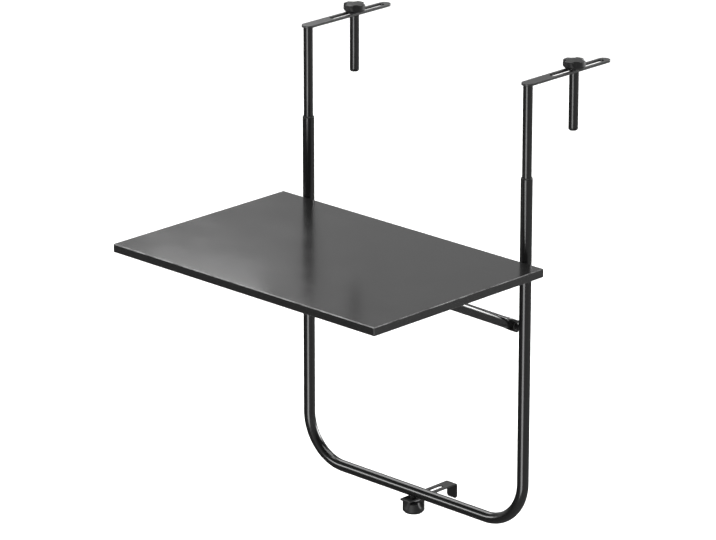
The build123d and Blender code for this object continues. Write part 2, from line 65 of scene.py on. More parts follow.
LOG = logging.getLogger("balcony_table")
EDGE_ATTRIBUTE = "coat_edge"
QUARTER = math.pi / 2
X_AXIS: Point = (1.0, 0.0, 0.0)
Y_AXIS: Point = (0.0, 1.0, 0.0)
Z_AXIS: Point = (0.0, 0.0, 1.0)

# Points closer than this are merged where sheets meet, and along a line they are one point.
MERGE_DISTANCE = 2e-6
SAME_PLACE = 1e-9
# Bevels soften edges sharper than this angle.
BEVEL_ANGLE = math.radians(40.0)
BEVEL_SEGMENTS = 2

# A tube's lips turn in this many steps, and its walls' end rings stand this far in from the ends.
LIP_STEPS = 3
TUBE_SHOULDER = 0.001
STRAIGHT_POINTS = 6
# A direction that no tube of the table runs along.
ASKEW = (0.3, 1.0, 0.2)
# Longest distance between points along the section of a folded sheet.
SHEET_STEP = 0.01

# Points round a weld bead and along it, and the fewest scales that it has.
BEAD_SIDES = 10
BEAD_POINTS = 96
BEAD_LEAST_SCALES = 4
# Its radius between two scales as a share of the whole, its edge value, and the share below an arm's face.
BEAD_VALLEY = 0.84
BEAD_EDGE = 0.5
BEAD_SINK = 1.0 / 3.0

# Heights of the knobs' bases: on the arms' washers, and the lowest face of the knob under the spacer.
HOOK_KNOB_Z = 0.0052
FOOT_KNOB_Z = -0.8142


class Finish(Enum):
    """The record's material slots, one for each finish on the table."""

    FRAME_COAT = "frame_coat"
    POST_COAT = "post_coat"
    PLATE_COAT = "plate_coat"
    TOP_COAT = "top_coat"
    KNOB_PLASTIC = "knob_plastic"
    GUIDE_PLASTIC = "guide_plastic"
    NYLON = "nylon"
    ZINC_STEEL = "zinc_steel"
    BLACK_STEEL = "black_steel"


class Side(Enum):
    """The two legs, by the sign of their X."""

    LEFT = -1
    RIGHT = 1

    @property
    def label(self) -> str:
        """Word that starts the names of this side's pieces."""
        return self.name.lower()


class Shading(Enum):
    """How a piece's smooth shading treats its flat faces."""

    ROUND = "round"
    FLAT_FACED = "flat_faced"


@dataclass(frozen=True)
class Surface:
    """Joined grid sheets.

    Args:
        points: Corner points, n by 3.
        quads: Four point numbers for each face, m by 4.
        edge: How near each point is to a rounded edge, from 0 to 1.
    """

    points: np.ndarray
    quads: np.ndarray
    edge: np.ndarray

    @classmethod
    def from_grid(
        cls,
        grid: np.ndarray,
        edge: np.ndarray | None = None,
        close_rows: bool = False,
        close_columns: bool = False,
    ) -> Surface:
        """Sheet whose point (i, j) is joined to (i + 1, j) and (i, j + 1).

        Args:
            grid: Points as rows by columns by 3.
            edge: Edge values that spread over the grid, or None for 0 all over.
            close_rows: Whether the last row is joined to the first.
            close_columns: Whether the last column is joined to the first.

        Returns:
            The sheet with one quad for each cell of the grid.
        """
        rows, columns = grid.shape[:2]
        index = np.arange(rows * columns).reshape(rows, columns)
        index = np.vstack([index, index[:1]]) if close_rows else index
        index = np.hstack([index, index[:, :1]]) if close_columns else index
        cells = [index[:-1, :-1], index[:-1, 1:], index[1:, 1:], index[1:, :-1]]
        values = np.zeros(1) if edge is None else edge
        spread = np.broadcast_to(values, (rows, columns)).ravel()
        return cls(grid.reshape(-1, 3), np.stack(cells, axis=-1).reshape(-1, 4), spread)

    @classmethod
    def joined(cls, *sheets: Surface) -> Surface:
        """All the sheets as one surface, with point numbers counted on from sheet to sheet.

        Args:
            sheets: Surfaces to join.

        Returns:
            One surface that holds them all.
        """
        counts = np.cumsum([0] + [len(sheet.points) for sheet in sheets[:-1]])
        quads = [sheet.quads + count for sheet, count in zip(sheets, counts)]
        points = np.vstack([sheet.points for sheet in sheets])
        return cls(points, np.vstack(quads), np.concatenate([sheet.edge for sheet in sheets]))

    def moved(self, offset: Point) -> Surface:
        """The same surface set off by a distance along each axis."""
        return Surface(self.points + np.asarray(offset), self.quads, self.edge)


@dataclass(frozen=True)
class TubePath:
    """Centre line of a bent tube.

    Args:
        points: Points along the line, n by 3.
        tangents: Unit directions there.
        bend: 0 on a straight run and up to 1 in the middle of a bend.
        normal: Unit normal of the plane that the line lies in.
    """

    points: np.ndarray
    tangents: np.ndarray
    bend: np.ndarray
    normal: np.ndarray


def unit(vectors: np.ndarray) -> np.ndarray:
    """Each vector divided by its length."""
    return vectors / np.linalg.norm(vectors, axis=-1, keepdims=True)


def smooth_step(values: np.ndarray) -> np.ndarray:
    """Values held to 0..1 and eased at both ends: 3 t squared less 2 t cubed."""
    held = np.clip(values, 0.0, 1.0)
    return held * held * (3.0 - 2.0 * held)


def smooth_least(first: np.ndarray, second: np.ndarray, width: float) -> np.ndarray:
    """Lesser of two values, rounded over where they come within a width of each other.

    Formula: with h = 0.5 + 0.5 (second - first) / width held to 0..1, the blend from second to first
    by h, less width times h times (1 - h).

    Args:
        first: One set of values.
        second: The other set.
        width: How near they come before the blend starts.

    Returns:
        The rounded lesser values.
    """
    share = np.clip(0.5 + 0.5 * (second - first) / width, 0.0, 1.0)
    return second + (first - second) * share - width * share * (1.0 - share)


def circle(count: int) -> np.ndarray:
    """Points round the unit circle, count by 2."""
    angle = np.linspace(0.0, 2.0 * math.pi, count, endpoint=False)
    return np.stack([np.cos(angle), np.sin(angle)], axis=-1)


def straight_run(start: np.ndarray, end: np.ndarray, step: float) -> np.ndarray:
    """Evenly spaced points from one end to the other, about a step apart."""
    count = max(2, math.ceil(np.linalg.norm(end - start) / step))
    return np.linspace(start, end, count)


def distances(line: np.ndarray) -> np.ndarray:
    """How far along a line each of its points lies."""
    return np.concatenate([[0.0], np.cumsum(np.linalg.norm(np.diff(line, axis=0), axis=1))])


def points_at(places: np.ndarray, length: np.ndarray, line: np.ndarray) -> np.ndarray:
    """Points (u, v) at places along a line, by straight interpolation between its own points."""
    return np.column_stack([np.interp(places, length, line[:, axis]) for axis in range(2)])


def bent_path(corners: list[Point], radius: float, run_step: float, arc_steps: int) -> TubePath:
    """Line through corners with an arc of one radius at each.

    Formula: at a corner with unit directions a before and b after it and turn angle t, the arc starts
    radius tan(t / 2) before the corner, its centre lies a radius away along n, the part of b square
    to a, and its points are centre - n radius cos(p) + a radius sin(p) for p from 0 to t.

    Args:
        corners: First end, corners and last end, all in one plane.
        radius: Radius of the arcs.
        run_step: About how far apart points on a straight run lie.
        arc_steps: Steps in each arc.

    Returns:
        The path with its directions and bends.
    """
    spots = np.asarray(corners, float)
    ways = unit(np.diff(spots, axis=0))
    points, tangents, bends = [], [], []
    start = spots[0]
    for corner, before, after in zip(spots[1:-1], ways[:-1], ways[1:]):
        turn = math.acos(float(np.clip(before @ after, -1.0, 1.0)))
        setback = radius * math.tan(turn / 2.0)
        aside = unit(after - before * (before @ after))
        entry = corner - before * setback
        angle = np.linspace(0.0, turn, arc_steps + 1)[:, None]
        arc = entry + aside * radius * (1.0 - np.cos(angle)) + before * radius * np.sin(angle)
        run = straight_run(start, entry, run_step)
        points += [run[:-1], arc]
        tangents += [np.tile(before, (len(run) - 1, 1)), before * np.cos(angle) + aside * np.sin(angle)]
        bends += [np.zeros(len(run) - 1), np.sin(angle[:, 0] / turn * math.pi)]
        start = arc[-1]
    run = straight_run(start, spots[-1], run_step)
    points.append(run[1:])
    tangents.append(np.tile(ways[-1], (len(run) - 1, 1)))
    bends.append(np.zeros(len(run) - 1))
    normal = unit(np.cross(ways[0], ways[1]))
    return TubePath(np.vstack(points), np.vstack(tangents), np.concatenate(bends), normal)


def straight_path(start: Point, end: Point) -> TubePath:
    """Straight line between two points, with a point at each end and a few between.

    Args:
        start: First end.
        end: Last end.

    Returns:
        The path, with any normal square to it.
    """
    points = np.linspace(start, end, STRAIGHT_POINTS)
    way = unit(points[-1] - points[0])
    normal = unit(np.cross(way, np.array(ASKEW)))
    return TubePath(points, np.tile(way, (len(points), 1)), np.zeros(len(points)), normal)


def carried(profiles: np.ndarray, origins: np.ndarray, across: np.ndarray, up: np.ndarray) -> np.ndarray:
    """Grid of profiles carried along a path: origin + u across + v up.

    Args:
        profiles: Profile points (u, v) as stations, or 1, by count by 2.
        origins: Path points, stations by 3.
        across: Direction of u at each station.
        up: Direction of v at each station.

    Returns:
        Points as stations by count by 3.
    """
    return origins[:, None] + profiles[..., :1] * across[:, None] + profiles[..., 1:] * up[:, None]


def tube(path: TubePath, radius: float, wall: float, lip: float, sides: int, oval: float = 0.0) -> Surface:
    """Open tube with both walls and rounded lips at its ends.

    Formula: a circle carried along the path, out along the outer wall, over the lip in quarter turns,
    back along the inner wall and over the other lip. In a bend the circle narrows by the oval share
    in the plane of the bend and widens by half of it square to that plane. The walls' end rings stand
    a shoulder in from the ends, so that the lips' shading doesn't spread along the tube.

    Args:
        path: Centre line.
        radius: Outer radius.
        wall: Wall thickness.
        lip: Rounding of the ends' edges.
        sides: Points round the tube.
        oval: Share by which the bends flatten.

    Returns:
        The closed surface, with its lips marked as edges.
    """
    turn = np.linspace(0.0, QUARTER, LIP_STEPS + 1)
    inner = radius - wall
    lip_radii = np.concatenate([radius - lip * (1.0 - np.cos(turn)), inner + lip * (1.0 - np.sin(turn))])
    lip_depths = np.concatenate([lip * (1.0 - np.sin(turn)), lip * (1.0 - np.cos(turn))])
    outset, ending = path.tangents[0], path.tangents[-1]
    end_lip = path.points[-1] - ending * lip_depths[:, None]
    start_lip = path.points[0] + outset * lip_depths[::-1, None]
    walls = path.points.copy()
    walls[0] += outset * TUBE_SHOULDER
    walls[-1] -= ending * TUBE_SHOULDER
    origins = np.vstack([walls, end_lip, walls[::-1], start_lip])
    end_ways, start_ways = [np.tile(way, (len(lip_radii), 1)) for way in (ending, outset)]
    tangents = np.vstack([path.tangents, end_ways, path.tangents[::-1], start_ways])
    run = len(walls)
    radii = np.concatenate([np.full(run, radius), lip_radii, np.full(run, inner), lip_radii[::-1]])
    still = np.zeros(len(lip_radii))
    bend = np.concatenate([path.bend, still, path.bend[::-1], still])
    edge = np.concatenate([np.zeros(run), still + 1.0, np.zeros(run), still + 1.0])
    scale = np.stack([1.0 + oval / 2.0 * bend, 1.0 - oval * bend], axis=-1) * radii[:, None]
    across = np.tile(path.normal, (len(origins), 1))
    grid = carried(circle(sides)[None] * scale[:, None], origins, across, np.cross(tangents, across))
    return Surface.from_grid(grid, edge[:, None], close_rows=True, close_columns=True)


def rounded_line(
    corners: list[tuple[float, float]], radii: list[float], closed: bool, steps: int = 5
) -> tuple[np.ndarray, np.ndarray]:
    """Line in a plane whose corners are turned to arcs of their own radii, all corners at once.

    Formula: as in bent_path, with the side of each arc taken from the sign of the turn.

    Args:
        corners: Points in order.
        radii: Radius for each corner, 0 for a sharp one.
        closed: Whether the last corner is joined to the first.
        steps: Steps in each arc.

    Returns:
        Points of the line, and 1 for each point on an arc with a radius, otherwise 0.
    """
    spots = np.asarray(corners, float)
    before = spots - np.roll(spots, 1, axis=0)
    after = np.roll(spots, -1, axis=0) - spots
    if not closed:
        before[0], after[-1] = after[0], before[-1]
    before, after = unit(before), unit(after)
    turned = before[:, 0] * after[:, 1] - before[:, 1] * after[:, 0]
    turn = np.arctan2(turned, np.sum(before * after, axis=1))
    size = np.asarray(radii, float)
    entry = spots - before * (size * np.tan(np.abs(turn) / 2.0))[:, None]
    aside = np.stack([-before[:, 1], before[:, 0]], axis=-1) * np.sign(turn)[:, None]
    angle = np.abs(turn)[:, None] * np.linspace(0.0, 1.0, steps + 1)
    reach = size[:, None, None]
    bow = aside[:, None] * reach * (1.0 - np.cos(angle))[..., None]
    line = entry[:, None] + bow + before[:, None] * reach * np.sin(angle)[..., None]
    mark = np.repeat(size > 0.0, steps + 1).astype(float)
    return line.reshape(-1, 2), mark


def filled_in(line: np.ndarray, mark: np.ndarray, step: float) -> tuple[np.ndarray, np.ndarray]:
    """Line with points added by straight interpolation, so that none lie further apart than a step.

    Args:
        line: Points in order, n by 2.
        mark: A value for each point.
        step: Longest distance between points.

    Returns:
        The longer line and its values.
    """
    length = distances(line)
    keep = np.concatenate([[True], np.diff(length) > SAME_PLACE])
    length, line, mark = length[keep], line[keep], mark[keep]
    places = np.union1d(length, np.linspace(0.0, length[-1], math.ceil(length[-1] / step) + 1))
    return points_at(places, length, line), np.interp(places, length, mark)


def revolved(profile: np.ndarray, mark: np.ndarray, sides: int, closed: bool) -> Surface:
    """Profile (radius, height) turned round the Z axis: x = r cos(a), y = r sin(a), z = h.

    Args:
        profile: Points of the profile, n by 2.
        mark: Edge value for each.
        sides: Points round the axis.
        closed: Whether the profile is a loop, as of a ring. An open one ends on the axis.

    Returns:
        The closed surface.
    """
    round_about = circle(sides)
    flat = profile[:, None, :1] * round_about
    tall = np.broadcast_to(profile[:, None, 1:], (len(profile), sides, 1))
    grid = np.concatenate([flat, tall], axis=-1)
    return Surface.from_grid(grid, mark[:, None], close_rows=closed, close_columns=True)


def folded_sheet(
    line: np.ndarray, thickness: float, start: Point, along: Point, across: Point, up: Point
) -> Surface:
    """Sheet bent along a line and drawn out straight.

    Formula: the line is set off by half the thickness to both sides along its own normal, and both
    sides are drawn from the start along a vector. Strips between the sides close the two ends.

    Args:
        line: Centre line (u, v) of the bent section.
        thickness: Sheet thickness.
        start: Where the section's (0, 0) lies at its first end.
        along: Vector from the first end to the last.
        across: Direction of u.
        up: Direction of v.

    Returns:
        The closed surface.
    """
    line, _ = filled_in(line, np.zeros(len(line)), SHEET_STEP)
    way = unit(np.gradient(line, axis=0))
    normal = np.stack([-way[:, 1], way[:, 0]], axis=-1) * thickness / 2.0
    sides = np.stack([line + normal, line - normal])
    flat = sides[..., :1] * np.asarray(across, float) + sides[..., 1:] * np.asarray(up, float)
    near = flat + np.asarray(start, float)
    far = near + np.asarray(along, float)
    loops = [np.vstack([end[0], end[1][::-1]]) for end in (near, far)]
    skin = Surface.from_grid(np.stack(loops), close_columns=True)
    return Surface.joined(skin, Surface.from_grid(near), Surface.from_grid(far))


def weld_bead(line: np.ndarray, axis: Point, radius: float, scale: float) -> Surface:
    """Weld bead along a closed line, with the scales that the arc leaves.

    Formula: a circle carried round the line, whose radius swells as the size of a sine with one
    swelling for each scale length, so that the scales meet in narrow valleys.

    Args:
        line: Closed line, n by 3.
        axis: Direction that the line goes round.
        radius: Radius of the bead at its swellings.
        scale: Length of one scale.

    Returns:
        The closed ring.
    """
    way = unit(np.roll(line, -1, axis=0) - np.roll(line, 1, axis=0))
    across = unit(np.cross(way, np.asarray(axis, float)))
    step = np.linalg.norm(np.roll(line, -1, axis=0) - line, axis=1)
    travelled = np.concatenate([[0.0], np.cumsum(step)[:-1]])
    swellings = max(BEAD_LEAST_SCALES, round(float(step.sum()) / scale))
    wave = np.abs(np.sin(math.pi * swellings * travelled / step.sum()))
    swell = BEAD_VALLEY + (1.0 - BEAD_VALLEY) * wave
    profiles = circle(BEAD_SIDES)[None] * (radius * swell)[:, None, None]
    grid = carried(profiles, line, across, np.cross(across, way))
    return Surface.from_grid(grid, np.full((1, 1), BEAD_EDGE), close_rows=True, close_columns=True)


def saddle_line(
    centre: Point, boss_axis: Point, tube_axis: Point, boss_radius: float, tube_radius: float
) -> np.ndarray:
    """Closed line where a round boss meets a round tube at right angles.

    Formula: at angle p round the boss, boss_radius cos(p) along the tube, boss_radius sin(p) across
    it, and out along the boss by the square root of tube_radius squared less the square of that.

    Args:
        centre: Where the two axes cross.
        boss_axis: Unit direction of the boss.
        tube_axis: Unit direction of the tube.
        boss_radius: Radius of the boss.
        tube_radius: Radius of the tube.

    Returns:
        Points of the line, n by 3.
    """
    ring = circle(BEAD_POINTS) * boss_radius
    out = np.sqrt(tube_radius**2 - ring[:, 1] ** 2)
    boss, along = np.asarray([boss_axis, tube_axis], float)
    aside = np.cross(boss, along)
    return np.asarray(centre) + ring[:, :1] * along + ring[:, 1:] * aside + out[:, None] * boss


def slot_loop(start: float, end: float, half_width: float, end_steps: int, runs: np.ndarray) -> np.ndarray:
    """Outline with two half-round ends along Y, from the front end round by the right side.

    Formula: half_width (cos(p), sin(p)) about the front end's middle for p from -180 to 0 degrees, and
    the same turned by 180 degrees about the rear end's middle, with straight sides between.

    Args:
        start: Y of the front end.
        end: Y of the rear end.
        half_width: Radius of the ends.
        end_steps: Steps in each half-round.
        runs: Shares of a straight side, rising from 0 to 1, at which it gets points.

    Returns:
        Points, n by 2, in the same order for every outline with the same steps and runs.
    """
    angle = np.linspace(-math.pi, 0.0, end_steps + 1)
    half_round = np.stack([np.cos(angle), np.sin(angle)], axis=-1) * half_width
    front = half_round + [0.0, start + half_width]
    return sided_loop(front, [0.0, end - half_width] - half_round, runs)


def sided_loop(front: np.ndarray, rear: np.ndarray, runs: np.ndarray) -> np.ndarray:
    """Closed outline of two end edges with straight sides between them.

    Args:
        front: Points of the front edge, from left to right.
        rear: Points of the rear edge, from right to left.
        runs: Shares of a straight side, rising from 0 to 1, at which it gets points.

    Returns:
        Front edge, right side, rear edge and left side, n by 2.
    """
    right = front[-1] + runs[1:-1, None] * (rear[0] - front[-1])
    left = rear[-1] + (1.0 - runs[1:-1][::-1, None]) * (front[0] - rear[-1])
    return np.vstack([front, right, rear, left])


def edge_roll(steps: int = 3) -> tuple[np.ndarray, np.ndarray]:
    """Shares of a rounding that its points stand in, 1 - sin(a), and drop, 1 - cos(a)."""
    angle = np.linspace(0.0, QUARTER, steps + 1)
    return 1.0 - np.sin(angle), 1.0 - np.cos(angle)


def slotted_rows(
    outer: Callable[[float], np.ndarray],
    slot: Callable[[float], np.ndarray],
    thickness: float,
    outer_round: float,
    slot_round: float,
    spans: int,
) -> tuple[np.ndarray, np.ndarray]:
    """Closed rows of a plate with one slot, a ring whose section is a rounded bar.

    Formula: the outline is rolled from its side on to the upper face, drawn in straight lines to the
    slot's outline, rolled down into the slot, and taken back the same way over the lower face.

    Args:
        outer: Function that gives the plate's outline for an inset.
        slot: Function that gives the slot's outline for an outset, in step with the plate's.
        thickness: Plate thickness. The upper face lies at height 0.
        outer_round: Rounding of the outer edges.
        slot_round: Rounding of the slot's edges.
        spans: Steps across each face.

    Returns:
        Points as rows by stations by 3, and the edge value of each row.
    """
    inset, drop = edge_roll()
    shares = np.linspace(0.0, 1.0, spans + 1)[1:-1]
    outer_edge, slot_edge = outer(outer_round), slot(slot_round)
    face = [outer_edge + (slot_edge - outer_edge) * share for share in shares]
    roll_out = [outer(outer_round * value) for value in inset]
    roll_in = [slot(slot_round * value) for value in inset]
    loops = roll_out[::-1] + face + roll_in
    heights = np.concatenate([-outer_round * drop[::-1], np.zeros(len(face)), -slot_round * drop])
    marks = np.concatenate([np.ones(len(drop)), np.zeros(len(face)), np.ones(len(drop))])
    flat = np.stack(loops + loops[::-1])
    tall = np.concatenate([heights, -thickness - heights[::-1]])
    rows = np.concatenate([flat, np.broadcast_to(tall[:, None, None], flat.shape[:2] + (1,))], axis=-1)
    return rows, np.concatenate([marks, marks[::-1]])


class Bench:
    """Where surfaces become pieces that ride on CAD bodies."""

    def __init__(self, finishes: FinishLibrary) -> None:
        """Keep the finishes that the pieces are dressed with."""
        self.finishes = finishes

    def add(
        self,
        name: str,
        surface: Surface,
        body: str,
        finish: Finish,
        stands_for: tuple[str, ...] = (),
        shading: Shading = Shading.ROUND,
        bevel: float = 0.0,
    ) -> bpy.types.Object:
        """Put a surface into the scene as one piece.

        Args:
            name: Name of the piece.
            surface: Its surface in the CAD frame.
            body: CAD body that it moves with.
            finish: Material slot that it takes its finish from.
            stands_for: CAD nodes that it is shown instead of.
            shading: How flat faces are shaded.
            bevel: Width of a bevel on sharp edges, or 0 for none.

        Returns:
            The new object.
        """
        mesh = bpy.data.meshes.new(name)
        mesh.vertices.add(len(surface.points))
        mesh.vertices.foreach_set("co", surface.points.astype(np.float32).ravel())
        mesh.loops.add(surface.quads.size)
        mesh.loops.foreach_set("vertex_index", surface.quads.astype(np.int32).ravel())
        mesh.polygons.add(len(surface.quads))
        mesh.polygons.foreach_set("loop_start", np.arange(0, surface.quads.size, 4, dtype=np.int32))
        mesh.update(calc_edges=True)
        mesh.attributes.new(EDGE_ATTRIBUTE, "FLOAT", "POINT")
        mesh.attributes[EDGE_ATTRIBUTE].data.foreach_set("value", surface.edge.astype(np.float32))
        self.close(mesh)
        piece = bpy.data.objects.new(name, mesh)
        bpy.context.scene.collection.objects.link(piece)
        mesh.materials.append(self.finishes.material(finish))
        if bevel:
            soften = piece.modifiers.new("soft_edges", "BEVEL")
            soften.width = bevel
            soften.segments = BEVEL_SEGMENTS
            soften.angle_limit = BEVEL_ANGLE
        if shading is Shading.FLAT_FACED:
            piece.modifiers.new("flat_faces", "WEIGHTED_NORMAL")
        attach(piece, body)
        if stands_for:
            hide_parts(*stands_for)
        LOG.info("%s on %s: %d faces", name, body, len(mesh.polygons))
        return piece

    @staticmethod
    def close(mesh: bpy.types.Mesh) -> None:
        """Merge a mesh's seams and poles, turn its faces outwards and shade it smooth.

        Args:
            mesh: Mesh of joined sheets.
        """
        work = bmesh.new()
        work.from_mesh(mesh)
        bmesh.ops.remove_doubles(work, verts=work.verts, dist=MERGE_DISTANCE)
        bmesh.ops.dissolve_degenerate(work, edges=work.edges, dist=MERGE_DISTANCE / 2.0)
        bmesh.ops.recalc_face_normals(work, faces=work.faces)
        work.to_mesh(mesh)
        work.free()
        mesh.shade_smooth()


@dataclass(frozen=True)
class BentFrame:
    """Both legs and the foot tube: one tube bent to a U, with the collars in its mouths and its welds."""

    leg_x: float = 0.250
    radius: float = 0.010
    wall: float = 0.0012
    mouth_z: float = -0.159
    foot_z: float = -0.776
    bend_radius: float = 0.082
    flattening: float = 0.03
    lip: float = 0.0003
    post_bore: float = 0.00808
    bush_radius: float = 0.00875
    bush_length: float = 0.030
    collar_height: float = 0.002
    collar_rim: float = 0.0005
    collar_face: float = 0.0005
    clamp_z: float = -0.175
    clamp_boss_radius: float = 0.003
    pivot_heights: tuple[float, float] = (-0.327, -0.419)
    pivot_boss_radius: float = 0.006
    foot_bush_radius: float = 0.007
    bead_radius: float = 0.0011
    bead_scale: float = 0.0022
    collar_rounds: tuple[float, ...] = (0.0, 0.0, 0.0, 0.0003, 0.0005, 0.0003, 0.0002)
    run_step: float = 0.02
    arc_steps: int = 36
    sides: int = 64

    def build(self, bench: Bench) -> None:
        """Add the bent tube, both collars and the weld beads.

        Args:
            bench: Where the pieces are put together.
        """
        ends = [(-self.leg_x, 0.0, self.mouth_z), (-self.leg_x, 0.0, self.foot_z)]
        corners = ends + [(-x, y, z) for x, y, z in ends[::-1]]
        path = bent_path(corners, self.bend_radius, self.run_step, self.arc_steps)
        skin = tube(path, self.radius, self.wall, self.lip, self.sides, self.flattening)
        bench.add("bent_frame", skin, "frame", Finish.FRAME_COAT, ("u_frame",))
        collar = self.collar()
        for side in Side:
            name = f"{side.label}_mouth_collar"
            placed = collar.moved((side.value * self.leg_x, 0.0, self.mouth_z))
            bench.add(name, placed, "frame", Finish.GUIDE_PLASTIC, (f"{side.label}_guide_bush",))
        bench.add("frame_welds", self.welds(), "frame", Finish.FRAME_COAT)

    def collar(self) -> Surface:
        """Sleeve turned from one profile: a cone that leads from the post down to the tube's edge.

        Returns:
            The sleeve, with the tube's mouth at height 0.
        """
        face = self.post_bore + self.collar_face
        corners = [
            (self.post_bore, -self.bush_length),
            (self.bush_radius, -self.bush_length),
            (self.bush_radius, 0.0),
            (self.radius, 0.0),
            (self.radius, self.collar_rim),
            (face, self.collar_height),
            (self.post_bore, self.collar_height),
        ]
        line, mark = rounded_line(corners, list(self.collar_rounds), True)
        return revolved(line, mark, self.sides, True)

    def welds(self) -> Surface:
        """Beads round the clamp bosses, the pivot bosses and the bush under the foot tube.

        Returns:
            All the beads as one surface.
        """
        downwards = (0.0, 0.0, -1.0)
        joints = [((0.0, 0.0, self.foot_z), downwards, X_AXIS, self.foot_bush_radius)]
        for side in Side:
            x = side.value * self.leg_x
            inwards = (-float(side.value), 0.0, 0.0)
            joints.append(((x, 0.0, self.clamp_z), Y_AXIS, Z_AXIS, self.clamp_boss_radius))
            for height in self.pivot_heights:
                joints.append(((x, 0.0, height), inwards, Z_AXIS, self.pivot_boss_radius))
        beads = []
        for centre, out, along, size in joints:
            line = saddle_line(centre, out, along, size, self.radius)
            beads.append(weld_bead(line, out, self.bead_radius, self.bead_scale))
        return Surface.joined(*beads)


@dataclass(frozen=True)
class RailHook:
    """One post with its slotted arm, the pin behind the railing and the weld under the arm."""

    side: Side
    leg_x: float = 0.250
    post_radius: float = 0.008
    post_wall: float = 0.0012
    post_foot_z: float = -0.337
    lip: float = 0.0003
    arm_width: float = 0.022
    arm_thickness: float = 0.004
    arm_reach: float = 0.198
    slide_gap: float = 0.00003
    arm_round: float = 0.0005
    slot_start: float = 0.054
    slot_end: float = 0.185
    slot_width: float = 0.011
    slot_round: float = 0.0003
    pin_y: float = 0.113
    pin_radius: float = 0.008
    pin_wall: float = 0.0015
    pin_foot_z: float = -0.097
    bead_radius: float = 0.0006
    bead_scale: float = 0.0018
    sides: int = 56
    end_steps: int = 24
    side_points: int = 30
    face_spans: int = 6

    def build(self, bench: Bench) -> None:
        """Add the post, its arm and weld, and the pin.

        Args:
            bench: Where the pieces are put together.
        """
        label = self.side.label
        x = self.side.value * self.leg_x
        path = straight_path((x, 0.0, self.post_foot_z), (x, 0.0, 0.0))
        post = tube(path, self.post_radius, self.post_wall, self.lip, self.sides)
        bench.add(f"{label}_post", post, f"{label}_post", Finish.POST_COAT, (f"{label}_post_tube",))
        arm = self.arm().moved((x, 0.0, self.arm_thickness - self.slide_gap))
        stands_for = (f"{label}_hook_arm",)
        bench.add(f"{label}_arm", arm, f"{label}_post", Finish.PLATE_COAT, stands_for, Shading.FLAT_FACED)
        ring = np.column_stack([circle(BEAD_POINTS) * self.post_radius, np.zeros(BEAD_POINTS)])
        bead = weld_bead(ring, Z_AXIS, self.bead_radius, self.bead_scale)
        bead = bead.moved((x, 0.0, -self.bead_radius * BEAD_SINK))
        bench.add(f"{label}_arm_weld", bead, f"{label}_post", Finish.POST_COAT)
        path = straight_path((x, self.pin_y, self.pin_foot_z), (x, self.pin_y, 0.0))
        pin = tube(path, self.pin_radius, self.pin_wall, self.lip, self.sides)
        bench.add(f"{label}_pin", pin, f"{label}_hook", Finish.POST_COAT, (f"{label}_hook_pin",))

    def arm(self) -> Surface:
        """Flat bar with half-round ends and one long slot.

        Formula: the bar's and the slot's outlines have points in step, and the faces are drawn in
        straight lines between them.

        Returns:
            The bar, with its upper face at height 0.
        """
        runs = np.linspace(0.0, 1.0, self.side_points)
        half = self.arm_width / 2.0
        slot_half = self.slot_width / 2.0

        def outer(inset: float) -> np.ndarray:
            """Outline of the bar, set in all round."""
            return slot_loop(inset - half, self.arm_reach - inset, half - inset, self.end_steps, runs)

        def slot(outset: float) -> np.ndarray:
            """Outline of the slot, widened all round."""
            start, end = self.slot_start - outset, self.slot_end + outset
            return slot_loop(start, end, slot_half + outset, self.end_steps, runs)

        thickness = self.arm_thickness - 2.0 * self.slide_gap
        rows, mark = slotted_rows(outer, slot, thickness, self.arm_round, self.slot_round, self.face_spans)
        return Surface.from_grid(rows, mark[:, None], close_rows=True, close_columns=True)


